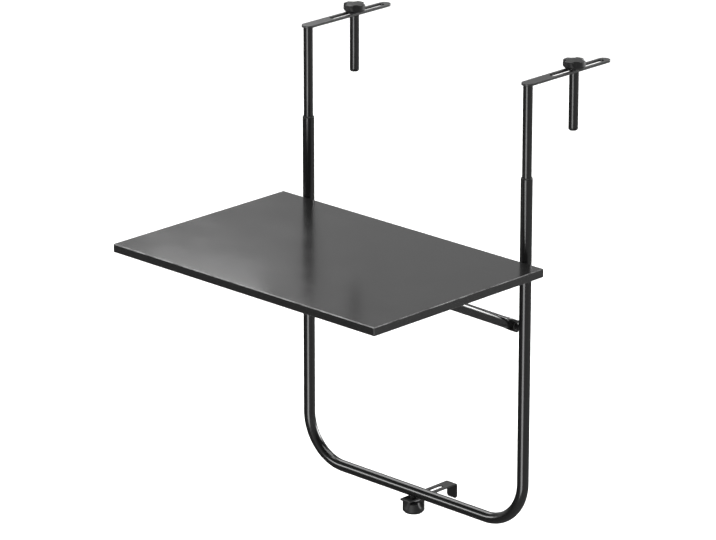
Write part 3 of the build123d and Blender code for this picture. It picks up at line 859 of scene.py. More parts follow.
@dataclass(frozen=True)
class StarKnob:
    """Round plastic knob with finger scoops that lean outwards and run out below the rim."""

    name: str
    body: str
    node: str
    foot: Point
    height: float
    scoop_turn: float
    neck: float = 0.0
    neck_radius: float = 0.0
    neck_round: float = 0.0005
    rim: float = 0.019
    base: float = 0.0155
    flank: float = 0.004
    dome: float = 0.001
    scoops: int = 4
    scoop_radius: float = 0.0095
    scoop_depth: float = 0.005
    scoop_lean: float = math.radians(30.0)
    blend: float = 0.0012
    rounds: tuple[float, float, float] = (0.0006, 0.0010, 0.0012)
    crown_share: float = 0.86
    crown_points: int = 12
    profile_step: float = 0.0005
    sides: int = 192

    def build(self, bench: Bench) -> None:
        """Add the knob.

        Args:
            bench: Where the pieces are put together.
        """
        placed = self.surface().moved(self.foot)
        bench.add(self.name, placed, self.body, Finish.KNOB_PLASTIC, (self.node,))

    def surface(self) -> Surface:
        """Turned profile whose radius is cut back by the scoops.

        Formula: a scoop is a cylinder that leans out on its way down, so that a level cut through it
        is an ellipse. Along a ray from the axis the knob's radius is the lesser of the profile's and
        the near root of the ray in that ellipse, rounded where the two meet.

        Returns:
            The knob, with its base at height 0.
        """
        profile, mark = self.profile()
        radius, height = profile[:, :1], profile[:, 1:]
        angle = np.linspace(0.0, 2.0 * math.pi, self.sides, endpoint=False)[None]
        share = 2.0 * math.pi / self.scoops
        aside = np.mod(angle - self.scoop_turn + share / 2.0, share) - share / 2.0
        reach = self.scoop_radius / math.cos(self.scoop_lean)
        top = self.rim + self.scoop_radius - self.scoop_depth
        axis = top + (self.height - height) * math.tan(self.scoop_lean)
        square = (np.cos(aside) / reach) ** 2 + (np.sin(aside) / self.scoop_radius) ** 2
        line = np.cos(aside) * axis / reach**2
        inside = line**2 - square * ((axis / reach) ** 2 - 1.0)
        root = (line - np.sqrt(np.maximum(inside, 0.0))) / square
        cut = np.where(inside > 0.0, root, 2.0 * self.rim)
        held = np.maximum(smooth_least(radius, cut, self.blend), 0.0) * (radius > 0.0)
        tall = np.broadcast_to(height, held.shape)
        grid = np.stack([held * np.cos(angle), held * np.sin(angle), tall], axis=-1)
        near = 1.0 - np.clip(np.abs(radius - cut) / self.blend, 0.0, 1.0)
        return Surface.from_grid(grid, np.maximum(mark[:, None], near), close_columns=True)

    def profile(self) -> tuple[np.ndarray, np.ndarray]:
        """Half section from the middle of the base, up the flank and rim, and over a spherical crown.

        Formula: the crown drops by the dome between the axis and the rim, so that its ball's radius is
        the sum of rim squared and dome squared, over twice the dome. At radius r the crown's height is
        the knob's less the ball's radius and plus the square root of its square less r squared.

        Returns:
            Points (radius, height), and the edge value of each.
        """
        shoulder = self.height - self.dome
        ball = (self.rim**2 + self.dome**2) / (2.0 * self.dome)
        reach = np.linspace(self.rim * self.crown_share, self.neck_radius, self.crown_points)
        crown = np.column_stack([reach, self.height - ball + np.sqrt(ball**2 - reach**2)])
        side = [(0.0, 0.0), (self.base, 0.0), (self.rim, self.flank), (self.rim, shoulder)]
        radii = [0.0, *self.rounds] + [0.0] * len(crown)
        top = self.height + self.neck
        neck = [(self.neck_radius, top), (0.0, top)] if self.neck else []
        radii += [self.neck_round, 0.0] if self.neck else []
        line, mark = rounded_line(side + crown.tolist() + neck, radii, False)
        return filled_in(line, mark, self.profile_step)


@dataclass(frozen=True)
class TableTop:
    """Sheet folded to a rim all round, with a lip along three sides, and the bearers and catches below."""

    width: float = 0.600
    depth: float = 0.400
    rear_y: float = -0.0115
    top_z: float = -0.300
    rim: float = 0.015
    sheet: float = 0.0012
    edge_round: float = 0.0015
    corner_round: float = 0.0015
    fold_round: float = 0.0015
    lip: float = 0.008
    field_inset: float = 0.012
    # Share of the painted edge highlight that the lower fold of the rim gets.
    lower_fold_highlight: float = 0.3
    bearer_x: float = 0.150
    bearer_web: float = 0.022
    bearer_flange: float = 0.010
    bearer_gap: float = 0.0015
    bearer_bend: float = 0.0014
    catch_sheet: float = 0.002
    catch_rear_y: float = -0.173
    catch_lip_y: float = -0.1995
    catch_lip_z: float = -0.321
    bearer_bevel: float = 0.0002
    catch_bevel: float = 0.0003
    catch_bend: float = 0.0011
    edge_steps: int = 5
    corner_steps: int = 6
    nick_share: float = 0.25
    cells_wide: int = 24
    cells_deep: int = 16

    def build(self, bench: Bench) -> None:
        """Add the tray, its bearers and the bow's catches.

        Args:
            bench: Where the pieces are put together.
        """
        tray = self.tray()
        bench.add("table_tray", tray, "table", Finish.TOP_COAT, ("table_top",), Shading.FLAT_FACED)
        for side in Side:
            x = side.value * self.bearer_x
            strips = [
                ("hat_bearer", "bearer", self.bearer(x), self.bearer_bevel),
                ("catch", "bow_catch", self.catch(x), self.catch_bevel),
            ]
            for word, node, strip, bevel in strips:
                name, stands_for = f"{side.label}_{word}", (f"{side.label}_{node}",)
                bench.add(name, strip, "table", Finish.PLATE_COAT, stands_for, Shading.FLAT_FACED, bevel)

    def loop(self, box: tuple[float, float, float, float], radius: float) -> np.ndarray:
        """Rectangle with rounded corners, counter-clockwise from the front left corner.

        Formula: a quarter turn of the radius about each corner's middle, and even steps between.

        Args:
            box: Least and most x, least and most y.
            radius: Corner radius.

        Returns:
            Points in the same order for every box, so that loops can be joined row to row.
        """
        x0, x1, y0, y1 = box
        turn = np.linspace(0.0, QUARTER, self.corner_steps + 1)
        middles = [(x0 + radius, y0 + radius), (x1 - radius, y0 + radius)]
        middles += [(x1 - radius, y1 - radius), (x0 + radius, y1 - radius)]
        starts = (math.pi, 3.0 * QUARTER, 0.0, QUARTER)
        arcs = [
            np.column_stack([np.cos(turn + start), np.sin(turn + start)]) * radius + middle
            for start, middle in zip(starts, middles)
        ]
        cells = (self.cells_wide, self.cells_deep) * 2
        parts = []
        for arc, following, steps in zip(arcs, arcs[1:] + arcs[:1], cells):
            parts += [arc, np.linspace(arc[-1], following[0], steps + 1)[1:-1]]
        return np.vstack(parts)

    def inset_box(self, inset: float) -> tuple[float, float, float, float]:
        """Least and most x and y of the top, set in all round."""
        half, front = self.width / 2.0 - inset, self.rear_y - self.depth + inset
        return -half, half, front, self.rear_y - inset

    def ring(self, inset: float, height: float) -> np.ndarray:
        """Loop of the top set in all round, at a height above the top's upper face."""
        loop = self.loop(self.inset_box(inset), max(self.corner_round - inset, 0.0))
        return np.column_stack([loop, np.full(len(loop), self.top_z + height)])

    def mouth(self, inset: float, height: float) -> np.ndarray:
        """Loop of the opening inside the lips. It reaches the rear rim, which has no lip.

        Args:
            inset: How far the loop stands back from the lips' edges.
            height: Height above the top's upper face.

        Returns:
            Points in step with those of ring, n by 3.
        """
        x0, x1, y0, y1 = self.inset_box(self.sheet)
        edge = self.lip - inset
        loop = self.loop((x0 + edge, x1 - edge, y0 + edge, y1), 0.0)
        return np.column_stack([loop, np.full(len(loop), self.top_z + height)])

    def tray(self) -> Surface:
        """Closed skin of the folded sheet.

        Formula: rings of one outline run from the upper face over a rounded edge, down the rim, round
        the fold on to the lip, and back inside at a sheet's thickness. Two plain grids close the field
        above and below. The folds are marked as edges, most in the middle of their turn, and the marks
        carry the top's painted highlight, weaker on the lower fold.

        Returns:
            The tray in its place.
        """
        inset, drop = edge_roll(self.edge_steps)
        rows = [self.ring(self.field_inset, 0.0)]
        rows += [self.ring(i * self.edge_round, -d * self.edge_round) for i, d in zip(inset, drop)]
        fold = list(zip(inset[::-1], drop[::-1]))
        rows += [self.ring(i * self.fold_round, d * self.fold_round - self.rim) for i, d in fold]
        floor, ceiling = -self.rim, self.sheet - self.rim
        nick = self.sheet * self.nick_share
        rows += [self.mouth(nick, floor), self.mouth(0.0, floor + nick)]
        rows += [self.mouth(0.0, ceiling - nick), self.mouth(nick, ceiling)]
        rows += [self.ring(self.sheet, ceiling), self.ring(self.sheet, -self.sheet)]
        rows.append(self.ring(self.field_inset, -self.sheet))
        crest = np.sin(2.0 * np.linspace(0.0, QUARTER, len(inset)))
        mark = np.zeros(len(rows))
        mark[1 : 1 + 2 * len(inset)] = np.concatenate([crest, self.lower_fold_highlight * crest])
        skin = Surface.from_grid(np.stack(rows), mark[:, None], close_columns=True)
        return Surface.joined(skin, self.field(0.0), self.field(-self.sheet))

    def field(self, height: float) -> Surface:
        """Plain grid inside the innermost ring, with its points on the ring's.

        Args:
            height: Height above the top's upper face.

        Returns:
            The flat sheet.
        """
        x0, x1, y0, y1 = self.inset_box(self.field_inset)
        columns = np.linspace(x0, x1, self.cells_wide + 1)
        x, y = np.meshgrid(columns, np.linspace(y0, y1, self.cells_deep + 1))
        return Surface.from_grid(np.stack([x, y, np.full_like(x, self.top_z + height)], axis=-1))

    def bearer(self, x: float) -> Surface:
        """Hat section under the sheet, from the front lip to the rear rim.

        Args:
            x: Where its middle lies.

        Returns:
            The bent strip.
        """
        half = self.sheet / 2.0
        brim, wall = self.bearer_web / 2.0 + self.bearer_flange, self.bearer_web / 2.0 - half
        upper, lower = -self.sheet - half, half - self.rim
        right = [(wall, lower), (wall, upper), (brim, upper)]
        corners = [(-u, v) for u, v in right[::-1]] + right
        bend = self.bearer_bend
        line, _ = rounded_line(corners, [0.0, bend, bend, bend, bend, 0.0], False)
        rear = self.rear_y - self.sheet - self.bearer_gap
        front = self.rear_y - self.depth + self.sheet + self.lip + self.bearer_gap
        start, along = (x, rear, self.top_z), (0.0, front - rear, 0.0)
        return folded_sheet(line, self.sheet, start, along, X_AXIS, Z_AXIS)

    def catch(self, x: float) -> Surface:
        """Bent plate under a bearer, with a lip in front of the bow.

        Args:
            x: Where its middle lies.

        Returns:
            The bent strip.
        """
        middle = self.top_z - self.rim - self.catch_sheet / 2.0
        corners = [(self.catch_rear_y, middle), (self.catch_lip_y, middle)]
        corners.append((self.catch_lip_y, self.catch_lip_z))
        line, _ = rounded_line(corners, [0.0, self.catch_bend, 0.0], False)
        start, along = (x - self.bearer_web / 2.0, 0.0, 0.0), (self.bearer_web, 0.0, 0.0)
        return folded_sheet(line, self.catch_sheet, start, along, Y_AXIS, Z_AXIS)


@dataclass(frozen=True)
class SupportBow:
    """Bent tube that carries the top, with both ends pressed flat for the pivot bolts."""

    pivot_z: float = -0.419
    reach: float = 0.187
    rise: float = 0.0922
    leg_x: float = 0.22935
    radius: float = 0.0095
    bend_radius: float = 0.045
    tab_width: float = 0.021
    tab_thickness: float = 0.003
    tab_length: float = 0.010
    tab_end: float = 0.011
    tab_corner: float = 0.004
    press_length: float = 0.024
    press_bow: float = 0.7
    flattening: float = 0.03
    vent_x: float = 0.100
    plug_radius: float = 0.0034
    plug_height: float = 0.0012
    plug_round: float = 0.0009
    plug_sink: float = 0.0005
    plug_stem: tuple[float, float] = (0.0024, -0.002)
    plug_sides: int = 32
    run_step: float = 0.012
    arc_steps: int = 28
    tip_points: int = 8
    flat_points: int = 7
    press_points: int = 19
    sides: int = 72

    @property
    def length(self) -> float:
        """Distance from the pivots to the middle of the cross tube."""
        return math.hypot(self.reach, self.rise)

    def axes(self) -> np.ndarray:
        """Rows: along the railing, forward along the bow, and square to both, downwards."""
        way = np.array([self.reach, self.rise]) / self.length
        return np.array([[1.0, 0.0, 0.0], [0.0, -way[0], way[1]], [0.0, -way[1], -way[0]]])

    def build(self, bench: Bench) -> None:
        """Add the bow and the plugs in its vents.

        Args:
            bench: Where the pieces are put together.
        """
        bench.add("bow_tube", self.surface(), "bow", Finish.FRAME_COAT, ("support_bow",))
        bench.add("bow_vent_plugs", self.plugs(), "bow", Finish.GUIDE_PLASTIC)

    def plugs(self) -> Surface:
        """Two turned plugs, each a rounded head on a stem, in the cross tube's underside.

        Returns:
            Both plugs in the table's frame.
        """
        stem, foot = self.plug_stem
        head, height = self.plug_radius, self.plug_height
        corners = [(0.0, foot), (stem, foot), (stem, 0.0), (head, 0.0), (head, height), (0.0, height)]
        line, mark = rounded_line(corners, [0.0, 0.0, 0.0, 0.0, self.plug_round, 0.0], False)
        plug = revolved(line, mark, self.plug_sides, False)
        placed = []
        for side in Side:
            at = np.array([side.value * self.vent_x, self.length, self.radius - self.plug_sink])
            placed.append(Surface((plug.points + at) @ self.axes(), plug.quads, plug.edge))
        return Surface.joined(*placed).moved((0.0, 0.0, self.pivot_z))

    def surface(self) -> Surface:
        """Skin of the bow in the table's frame.

        Formula: a circle carried along the path turns to a flat section with round edges towards each
        end. The turn runs ahead on the pressed faces and lags at the edges, which leaves the scooped
        hollow of a pressed tube. Past the pivot the section narrows round two corners.

        Returns:
            The closed skin.
        """
        end = self.end_stations()
        start = end[-1]
        corners = [(self.leg_x, start, 0.0), (self.leg_x, self.length, 0.0)]
        corners += [(-x, y, z) for x, y, z in corners[::-1]]
        path = bent_path(corners, self.bend_radius, self.run_step, self.arc_steps)
        ahead = np.column_stack([np.full_like(end, self.leg_x), end, np.zeros_like(end)])
        behind = (ahead * [-1.0, 1.0, 1.0])[::-1]
        origins = np.vstack([ahead, path.points[1:-1], behind])
        out = np.tile(path.tangents[0], (len(end), 1))
        tangents = np.vstack([out, path.tangents[1:-1], -out])
        along = np.concatenate([end, np.full(len(path.points) - 2, start), end[::-1]])
        bend = np.concatenate([np.zeros(len(end)), path.bend[1:-1], np.zeros(len(end))])
        across = np.tile(path.normal, (len(origins), 1))
        profiles = self.sections(along, bend)
        grid = carried(profiles, origins, across, np.cross(tangents, across)) @ self.axes()
        return Surface.from_grid(grid, close_columns=True).moved((0.0, 0.0, self.pivot_z))

    def end_stations(self) -> np.ndarray:
        """Distances from the pivot of the stations from the tab's tip to the round tube.

        Returns:
            Rising distances, close together where the tip's edge and corners turn.
        """
        rise = 1.0 - np.cos(np.linspace(0.0, QUARTER, self.tip_points))
        tip = -self.tab_end + np.union1d(self.tab_thickness / 2.0 * rise, self.tab_corner * rise)
        flat = np.linspace(tip[-1], self.tab_length, self.flat_points)
        press = np.linspace(self.tab_length, self.tab_length + self.press_length, self.press_points)
        return np.concatenate([tip, flat[1:], press[1:]])

    def sections(self, along: np.ndarray, bend: np.ndarray) -> np.ndarray:
        """Section at each station, between the round tube and the flat tab.

        Formula: a point keeps its share of a quarter of the outline in both sections. The flat one has
        half-round edges. It narrows by a quarter circle round the tab's corners and thins by a quarter
        circle at its tip. The pressed share rises from the round tube to the tab, eased at both ends,
        and sooner on the faces, by the bow times the square of the circle's sine.

        Args:
            along: Distance from the pivot, never more than where the tube is round.
            bend: 0 on a run and up to 1 in the middle of a bend.

        Returns:
            Points (square to the bow, along the railing) as stations by count by 2.
        """
        ring = circle(self.sides)
        oval = np.stack([1.0 + self.flattening / 2.0 * bend, 1.0 - self.flattening * bend], axis=-1)
        tube_section = ring[None] * self.radius * oval[:, None]
        half, thin = self.tab_width / 2.0, self.tab_thickness / 2.0
        crest, face = thin * QUARTER, half - thin
        share = np.arctan2(np.abs(ring[:, 1]), np.abs(ring[:, 0])) / QUARTER * (crest + face)
        turn = np.minimum(share, crest) / thin
        wide = np.where(share < crest, face + thin * np.cos(turn), face - (share - crest))
        flat_section = np.column_stack([wide, thin * np.sin(turn)]) * np.sign(ring)
        into = np.maximum(self.tab_corner - self.tab_end - along, 0.0) / self.tab_corner
        narrow = 1.0 - self.tab_corner / half * (1.0 - np.sqrt(np.clip(1.0 - into**2, 0.0, 1.0)))
        out = np.maximum(thin - self.tab_end - along, 0.0) / thin
        thinned = np.sqrt(np.clip(1.0 - out**2, 0.0, 1.0))
        flat_sections = flat_section[None] * np.stack([narrow, thinned], axis=-1)[:, None]
        pressed = (self.tab_length + self.press_length - along)[:, None] / self.press_length
        amount = smooth_step(pressed * (1.0 + self.press_bow * ring[:, 1] ** 2))[..., None]
        return tube_section + (flat_sections - tube_section) * amount


@dataclass(frozen=True)
class FootSpacer:
    """Slotted plate under the foot tube, folded down at the rear to bear on the railing."""

    top_z: float = -0.787
    width: float = 0.0225
    thickness: float = 0.003
    front: float = -0.0225
    reach: float = 0.099
    flange: float = 0.0285
    bend_inner: float = 0.0015
    front_round: float = 0.002
    flange_round: float = 0.005
    slot_start: float = -0.005
    slot_end: float = 0.072
    slot_width: float = 0.0085
    edge_round: float = 0.0004
    end_steps: int = 40
    corner_steps: int = 8
    face_spans: int = 90
    flat_points: int = 26
    fold_points: int = 15
    flange_points: int = 14

    @property
    def bend_start(self) -> float:
        """Distance along the flat blank at which the fold starts."""
        return self.reach - self.thickness - self.bend_inner

    @property
    def bend_end(self) -> float:
        """Distance along the blank at which the fold ends, on the middle of the sheet."""
        return self.bend_start + QUARTER * (self.bend_inner + self.thickness / 2.0)

    @property
    def blank_end(self) -> float:
        """Length of the blank from the stud's place to the flange's lower edge."""
        return self.bend_end + self.flange - self.thickness - self.bend_inner

    def build(self, bench: Bench) -> None:
        """Add the spacer.

        Args:
            bench: Where the pieces are put together.
        """
        stands_for = ("spacer_plate",)
        bench.add("foot_spacer", self.surface(), "spacer", Finish.PLATE_COAT, stands_for, Shading.FLAT_FACED)

    def surface(self) -> Surface:
        """Blank with its slot, worked out flat and then folded.

        Formula: past the fold's start the distance along the blank turns into an angle about the
        fold's axis, distance over the middle radius, up to a right angle, and past that into depth.
        A point keeps its place in the sheet's thickness throughout.

        Returns:
            The folded plate in its place.
        """
        side = self.blank_end - self.flange_round - self.front - self.front_round
        marks = np.array([self.bend_start, self.bend_end]) - self.front - self.front_round
        before, after = marks / side
        flat = np.linspace(0.0, before, self.flat_points)
        fold = np.linspace(before, after, self.fold_points)
        runs = np.concatenate([flat[:-1], fold[:-1], np.linspace(after, 1.0, self.flange_points)])

        def slot(outset: float) -> np.ndarray:
            """Outline of the slot, widened all round."""
            start, end = self.slot_start - outset, self.slot_end + outset
            return slot_loop(start, end, self.slot_width / 2.0 + outset, self.end_steps, runs)

        def outer(inset: float) -> np.ndarray:
            """Outline of the blank, set in all round."""
            return self.blank(inset, runs)

        edge = self.edge_round
        rows, mark = slotted_rows(outer, slot, self.thickness, edge, edge, self.face_spans)
        x, distance, height = rows[..., 0], rows[..., 1], rows[..., 2]
        middle = self.bend_inner + self.thickness / 2.0
        angle = np.clip((distance - self.bend_start) / middle, 0.0, QUARTER)
        axis_drop = self.bend_inner + self.thickness
        radius = axis_drop + height
        level = np.minimum(distance, self.bend_start)
        past = np.maximum(distance - self.bend_end, 0.0)
        y = level + radius * np.sin(angle)
        z = self.top_z - axis_drop + radius * np.cos(angle) - past
        grid = np.stack([x, y, z], axis=-1)
        return Surface.from_grid(grid, mark[:, None], close_rows=True, close_columns=True)

    def blank(self, inset: float, runs: np.ndarray) -> np.ndarray:
        """Outline of the flat blank in step with the slot's: front edge, right side, rear edge, left side.

        Args:
            inset: How far the outline is set in.
            runs: Shares of a side at which it gets points.

        Returns:
            Points, n by 2.
        """
        half = self.width / 2.0 - inset
        front = self.end_edge(half, self.front + inset, self.front_round - inset)
        rear = -self.end_edge(half, -self.blank_end + inset, self.flange_round - inset)
        return sided_loop(front, rear, runs)

    def end_edge(self, half: float, level: float, radius: float) -> np.ndarray:
        """Edge with two rounded corners, at points spaced evenly along it.

        Args:
            half: Half the width.
            level: Y of the straight part.
            radius: Corner radius. The corners turn towards greater Y.

        Returns:
            Points from the left corner's end to the right corner's end.
        """
        far = level + radius
        corners = [(-half, far), (-half, level), (half, level), (half, far)]
        line, _ = rounded_line(corners, [0.0, radius, radius, 0.0], False, self.corner_steps)
        length = distances(line)
        return points_at(np.linspace(0.0, length[-1], self.end_steps + 1), length, line)


class NodeBoard:
    """Node tree with short calls that add and link its nodes."""

    def __init__(self, tree: bpy.types.NodeTree) -> None:
        """Keep the tree and clear it."""
        self.tree = tree
        tree.nodes.clear()

    def add(self, kind: str, inputs: dict | None = None, **settings: object) -> bpy.types.Node:
        """Add a node.

        Args:
            kind: Blender's name for the node's type.
            inputs: Values for its sockets, by name or number, or sockets to link to them.
            settings: The node's own settings.

        Returns:
            The node.
        """
        node = self.tree.nodes.new(kind)
        for name, value in settings.items():
            setattr(node, name, value)
        for name, value in (inputs or {}).items():
            if isinstance(value, bpy.types.NodeSocket):
                self.link(value, node.inputs[name])
            else:
                node.inputs[name].default_value = value
        return node

    def link(self, source: bpy.types.NodeSocket, target: bpy.types.NodeSocket) -> None:
        """Link an output to an input."""
        self.tree.links.new(source, target)

    def maths(self, operation: str, first: object, second: object) -> bpy.types.NodeSocket:
        """Result of one sum on two sockets or numbers."""
        return self.add("ShaderNodeMath", {0: first, 1: second}, operation=operation).outputs[0]

    def spread(
        self, value: object, span: tuple[float, float], least: object, most: object
    ) -> bpy.types.NodeSocket:
        """Value stretched from a span to the range between two sockets or numbers, and held to it."""
        inputs = {"Value": value, "From Min": span[0], "From Max": span[1], "To Min": least, "To Max": most}
        return self.add("ShaderNodeMapRange", inputs).outputs["Result"]

    def noise(self, place: bpy.types.NodeSocket, scale: object, detail: float) -> bpy.types.NodeSocket:
        """Strength of a cloudy noise at a place."""
        inputs = {"Vector": place, "Scale": scale, "Detail": detail}
        return self.add("ShaderNodeTexNoise", inputs).outputs[0]

    def shared(
        self, first: bpy.types.NodeSocket, second: bpy.types.NodeSocket, share: float
    ) -> bpy.types.NodeSocket:
        """A share of one value added to the rest of another."""
        parts = self.maths("MULTIPLY", first, share), self.maths("MULTIPLY", second, 1.0 - share)
        return self.maths("ADD", *parts)


class Effect(Enum):
    """Shared effects, each a node group."""

    COAT_GRAIN = "coat_grain"
    EDGE_THINNING = "edge_thinning"
    HANDLING = "handling_marks"
    MOULD_GRAIN = "mould_grain"


@dataclass(frozen=True)
class OpenGroup:
    """Node group with one output, while it is being wired.

    Args:
        board: The group's nodes.
        given: Its inputs, by name.
        made: Its output.
        place: The surface's own coordinates.
    """

    board: NodeBoard
    given: bpy.types.NodeOutputs
    made: bpy.types.NodeSocket
    place: bpy.types.NodeSocket

    @classmethod
    def start(cls, effect: Effect, inputs: dict[str, str], output: str, kind: str = "Float") -> OpenGroup:
        """Open a group with its sockets.

        Args:
            effect: Which effect.
            inputs: Socket types by name.
            output: Name of the output.
            kind: Socket type of the output.

        Returns:
            The group, ready for its nodes.
        """
        tree = bpy.data.node_groups.new(effect.value, "ShaderNodeTree")
        sockets = [("INPUT", name, type_name) for name, type_name in inputs.items()]
        for way, name, type_name in [*sockets, ("OUTPUT", output, kind)]:
            tree.interface.new_socket(name=name, in_out=way, socket_type=f"NodeSocket{type_name}")
        board = NodeBoard(tree)
        given = board.add("NodeGroupInput").outputs
        made = board.add("NodeGroupOutput").inputs[output]
        return cls(board, given, made, board.add("ShaderNodeTexCoord").outputs["Object"])

    def finish(self, result: bpy.types.NodeSocket) -> bpy.types.NodeTree:
        """Tree of the group, with its result linked to the output."""
        self.board.link(result, self.made)
        return self.board.tree


@dataclass
class EffectGroups:
    """The shared effects as node groups, each built once."""

    swell_share: float = 0.7
    swell_detail: float = 2.0
    grain_detail: float = 3.0
    edge_break_scale: float = 42.0
    edge_break_detail: float = 5.0
    edge_break_span: tuple[float, float] = (0.38, 0.66)
    least_edge_break: float = 0.15
    patch_share: float = 0.72
    patch_detail: float = 4.0
    wipe_stretch: Point = (3.0, 46.0, 46.0)
    wipe_scale: float = 3.0
    wipe_detail: float = 6.0
    gloss_span: tuple[float, float] = (0.34, 0.66)
    cell_span: tuple[float, float] = (0.0, 0.7)
    depth_scale: float = 160.0
    depth_detail: float = 4.0
    depth_span: tuple[float, float] = (0.3, 0.7)
    least_depth: float = 0.5
    groups: dict[Effect, bpy.types.NodeTree] = field(init=False)

    def __post_init__(self) -> None:
        """Build every group."""
        self.groups = {
            Effect.COAT_GRAIN: self.coat_grain(),
            Effect.EDGE_THINNING: self.edge_thinning(),
            Effect.HANDLING: self.handling(),
            Effect.MOULD_GRAIN: self.mould_grain(),
        }

    def place(self, board: NodeBoard, effect: Effect, inputs: dict) -> bpy.types.NodeSocket:
        """Put an effect into a material with its own values.

        Args:
            board: The material's nodes.
            effect: Which effect.
            inputs: Values for the group's sockets.

        Returns:
            The group's output.
        """
        return board.add("ShaderNodeGroup", node_tree=self.groups[effect], inputs=inputs).outputs[0]

    def coat_grain(self) -> bpy.types.NodeTree:
        """Powder coat: the low swell of the molten film, and the fine grains in it.

        Returns:
            Group that puts out the film's height.
        """
        sockets = {"Swell Scale": "Float", "Grain Scale": "Float"}
        group = OpenGroup.start(Effect.COAT_GRAIN, sockets, "Height")
        board, place = group.board, group.place
        swell = board.noise(place, group.given["Swell Scale"], self.swell_detail)
        grain = board.noise(place, group.given["Grain Scale"], self.grain_detail)
        return group.finish(board.shared(swell, grain, self.swell_share))

    def edge_thinning(self) -> bpy.types.NodeTree:
        """Paler colour along rounded edges, broken up so that it comes and goes: a thinner, rubbed coat on
        most finishes, and a painted highlight along the top's folds.

        Returns:
            Group that puts out the coat's colour.
        """
        sockets = {"Coat Colour": "Color", "Edge Colour": "Color", "Amount": "Float"}
        group = OpenGroup.start(Effect.EDGE_THINNING, sockets, "Colour", "Color")
        board, given = group.board, group.given
        near = board.add("ShaderNodeAttribute", attribute_name=EDGE_ATTRIBUTE).outputs["Fac"]
        patches = board.noise(group.place, self.edge_break_scale, self.edge_break_detail)
        patchy = board.spread(patches, self.edge_break_span, self.least_edge_break, 1.0)
        # On the top this pale edge colour is a painted highlight along the folds; on the other finishes it is
        # thin, rubbed coat.
        mask = board.maths("MULTIPLY", board.maths("MULTIPLY", near, patchy), given["Amount"])
        mix = board.add("ShaderNodeMix", data_type="RGBA")
        sources = {"Factor": mask, "A": given["Coat Colour"], "B": given["Edge Colour"]}
        for name, source in sources.items():
            target = next(socket for socket in mix.inputs if socket.name == name and socket.enabled)
            board.link(source, target)
        return group.finish(next(socket for socket in mix.outputs if socket.enabled))

    def handling(self) -> bpy.types.NodeTree:
        """Gloss that varies where hands and cloths have been: soft patches with faint wiped streaks.

        Returns:
            Group that puts out the roughness.
        """
        sockets = {"Patch Scale": "Float", "Least": "Float", "Most": "Float"}
        group = OpenGroup.start(Effect.HANDLING, sockets, "Roughness")
        board, given = group.board, group.given
        patches = board.noise(group.place, given["Patch Scale"], self.patch_detail)
        stretch = board.add("ShaderNodeMapping", {"Vector": group.place, "Scale": self.wipe_stretch})
        wiped = board.noise(stretch.outputs[0], self.wipe_scale, self.wipe_detail)
        both = board.shared(patches, wiped, self.patch_share)
        return group.finish(board.spread(both, self.gloss_span, given["Least"], given["Most"]))

    def mould_grain(self) -> bpy.types.NodeTree:
        """Spark-eroded mould surface: small rounded cells of uneven depth.

        Returns:
            Group that puts out the surface's height.
        """
        group = OpenGroup.start(Effect.MOULD_GRAIN, {"Cell Scale": "Float"}, "Height")
        board, place = group.board, group.place
        inputs = {"Vector": place, "Scale": group.given["Cell Scale"]}
        cells = board.add("ShaderNodeTexVoronoi", inputs).outputs["Distance"]
        clouds = board.noise(place, self.depth_scale, self.depth_detail)
        depth = board.spread(cells, self.cell_span, 0.0, 1.0)
        uneven = board.spread(clouds, self.depth_span, self.least_depth, 1.0)
        return group.finish(board.maths("MULTIPLY", depth, uneven))


def grey(value: float, warmth: float = 0.0) -> Colour:
    """Grey of a linear value, a little warmer above 0 and cooler below."""
    return value * (1.0 + warmth), value, value * (1.0 - warmth), 1.0


@dataclass(frozen=True)
class Canvas:
    """A material while a finish is being laid on it.

    Args:
        board: The material's nodes.
        shader: Its Principled BSDF.
        effects: The shared groups.
    """

    board: NodeBoard
    shader: bpy.types.Node
    effects: EffectGroups

    def colour(self, socket: bpy.types.NodeSocket) -> None:
        """Colour the surface."""
        self.board.link(socket, self.shader.inputs["Base Color"])

    def gloss(self, patch_scale: float, roughness: tuple[float, float]) -> None:
        """Let the surface's roughness vary in patches.

        Args:
            patch_scale: How many patches there are, as the noise's scale.
            roughness: Its least and most.
        """
        values = {"Patch Scale": patch_scale, "Least": roughness[0], "Most": roughness[1]}
        marks = self.effects.place(self.board, Effect.HANDLING, values)
        self.board.link(marks, self.shader.inputs["Roughness"])

    def relief(self, height: bpy.types.NodeSocket, depth: float, strength: float) -> None:
        """Raise the surface's fine relief."""
        bump = self.board.add("ShaderNodeBump", {"Height": height, "Distance": depth, "Strength": strength})
        self.board.link(bump.outputs["Normal"], self.shader.inputs["Normal"])

    def hold(self, socket: str, value: float) -> None:
        """Set a value that is the same all over the surface."""
        self.shader.inputs[socket].default_value = value


@dataclass(frozen=True, kw_only=True)
class BlackCoat:
    """Near-black skin that is paler along its rounded edges and varies in gloss. The paler edges are rubbed
    wear on most finishes and a painted highlight on the top's folds.
    """

    colour: Colour
    edge_colour: Colour
    edge_amount: float
    roughness: tuple[float, float]
    specular: float
    relief: float
    patch_scale: float
    bump_strength: float

    def dress(self, canvas: Canvas) -> None:
        """Lay the skin on a material.

        Args:
            canvas: The material.
        """
        colours = {"Coat Colour": self.colour, "Edge Colour": self.edge_colour, "Amount": self.edge_amount}
        canvas.colour(canvas.effects.place(canvas.board, Effect.EDGE_THINNING, colours))
        canvas.gloss(self.patch_scale, self.roughness)
        canvas.relief(self.height(canvas), self.relief, self.bump_strength)
        canvas.hold("Specular IOR Level", self.specular)

    def height(self, canvas: Canvas) -> bpy.types.NodeSocket:
        """Height of the skin's fine relief, which each kind of skin gives."""
        raise NotImplementedError


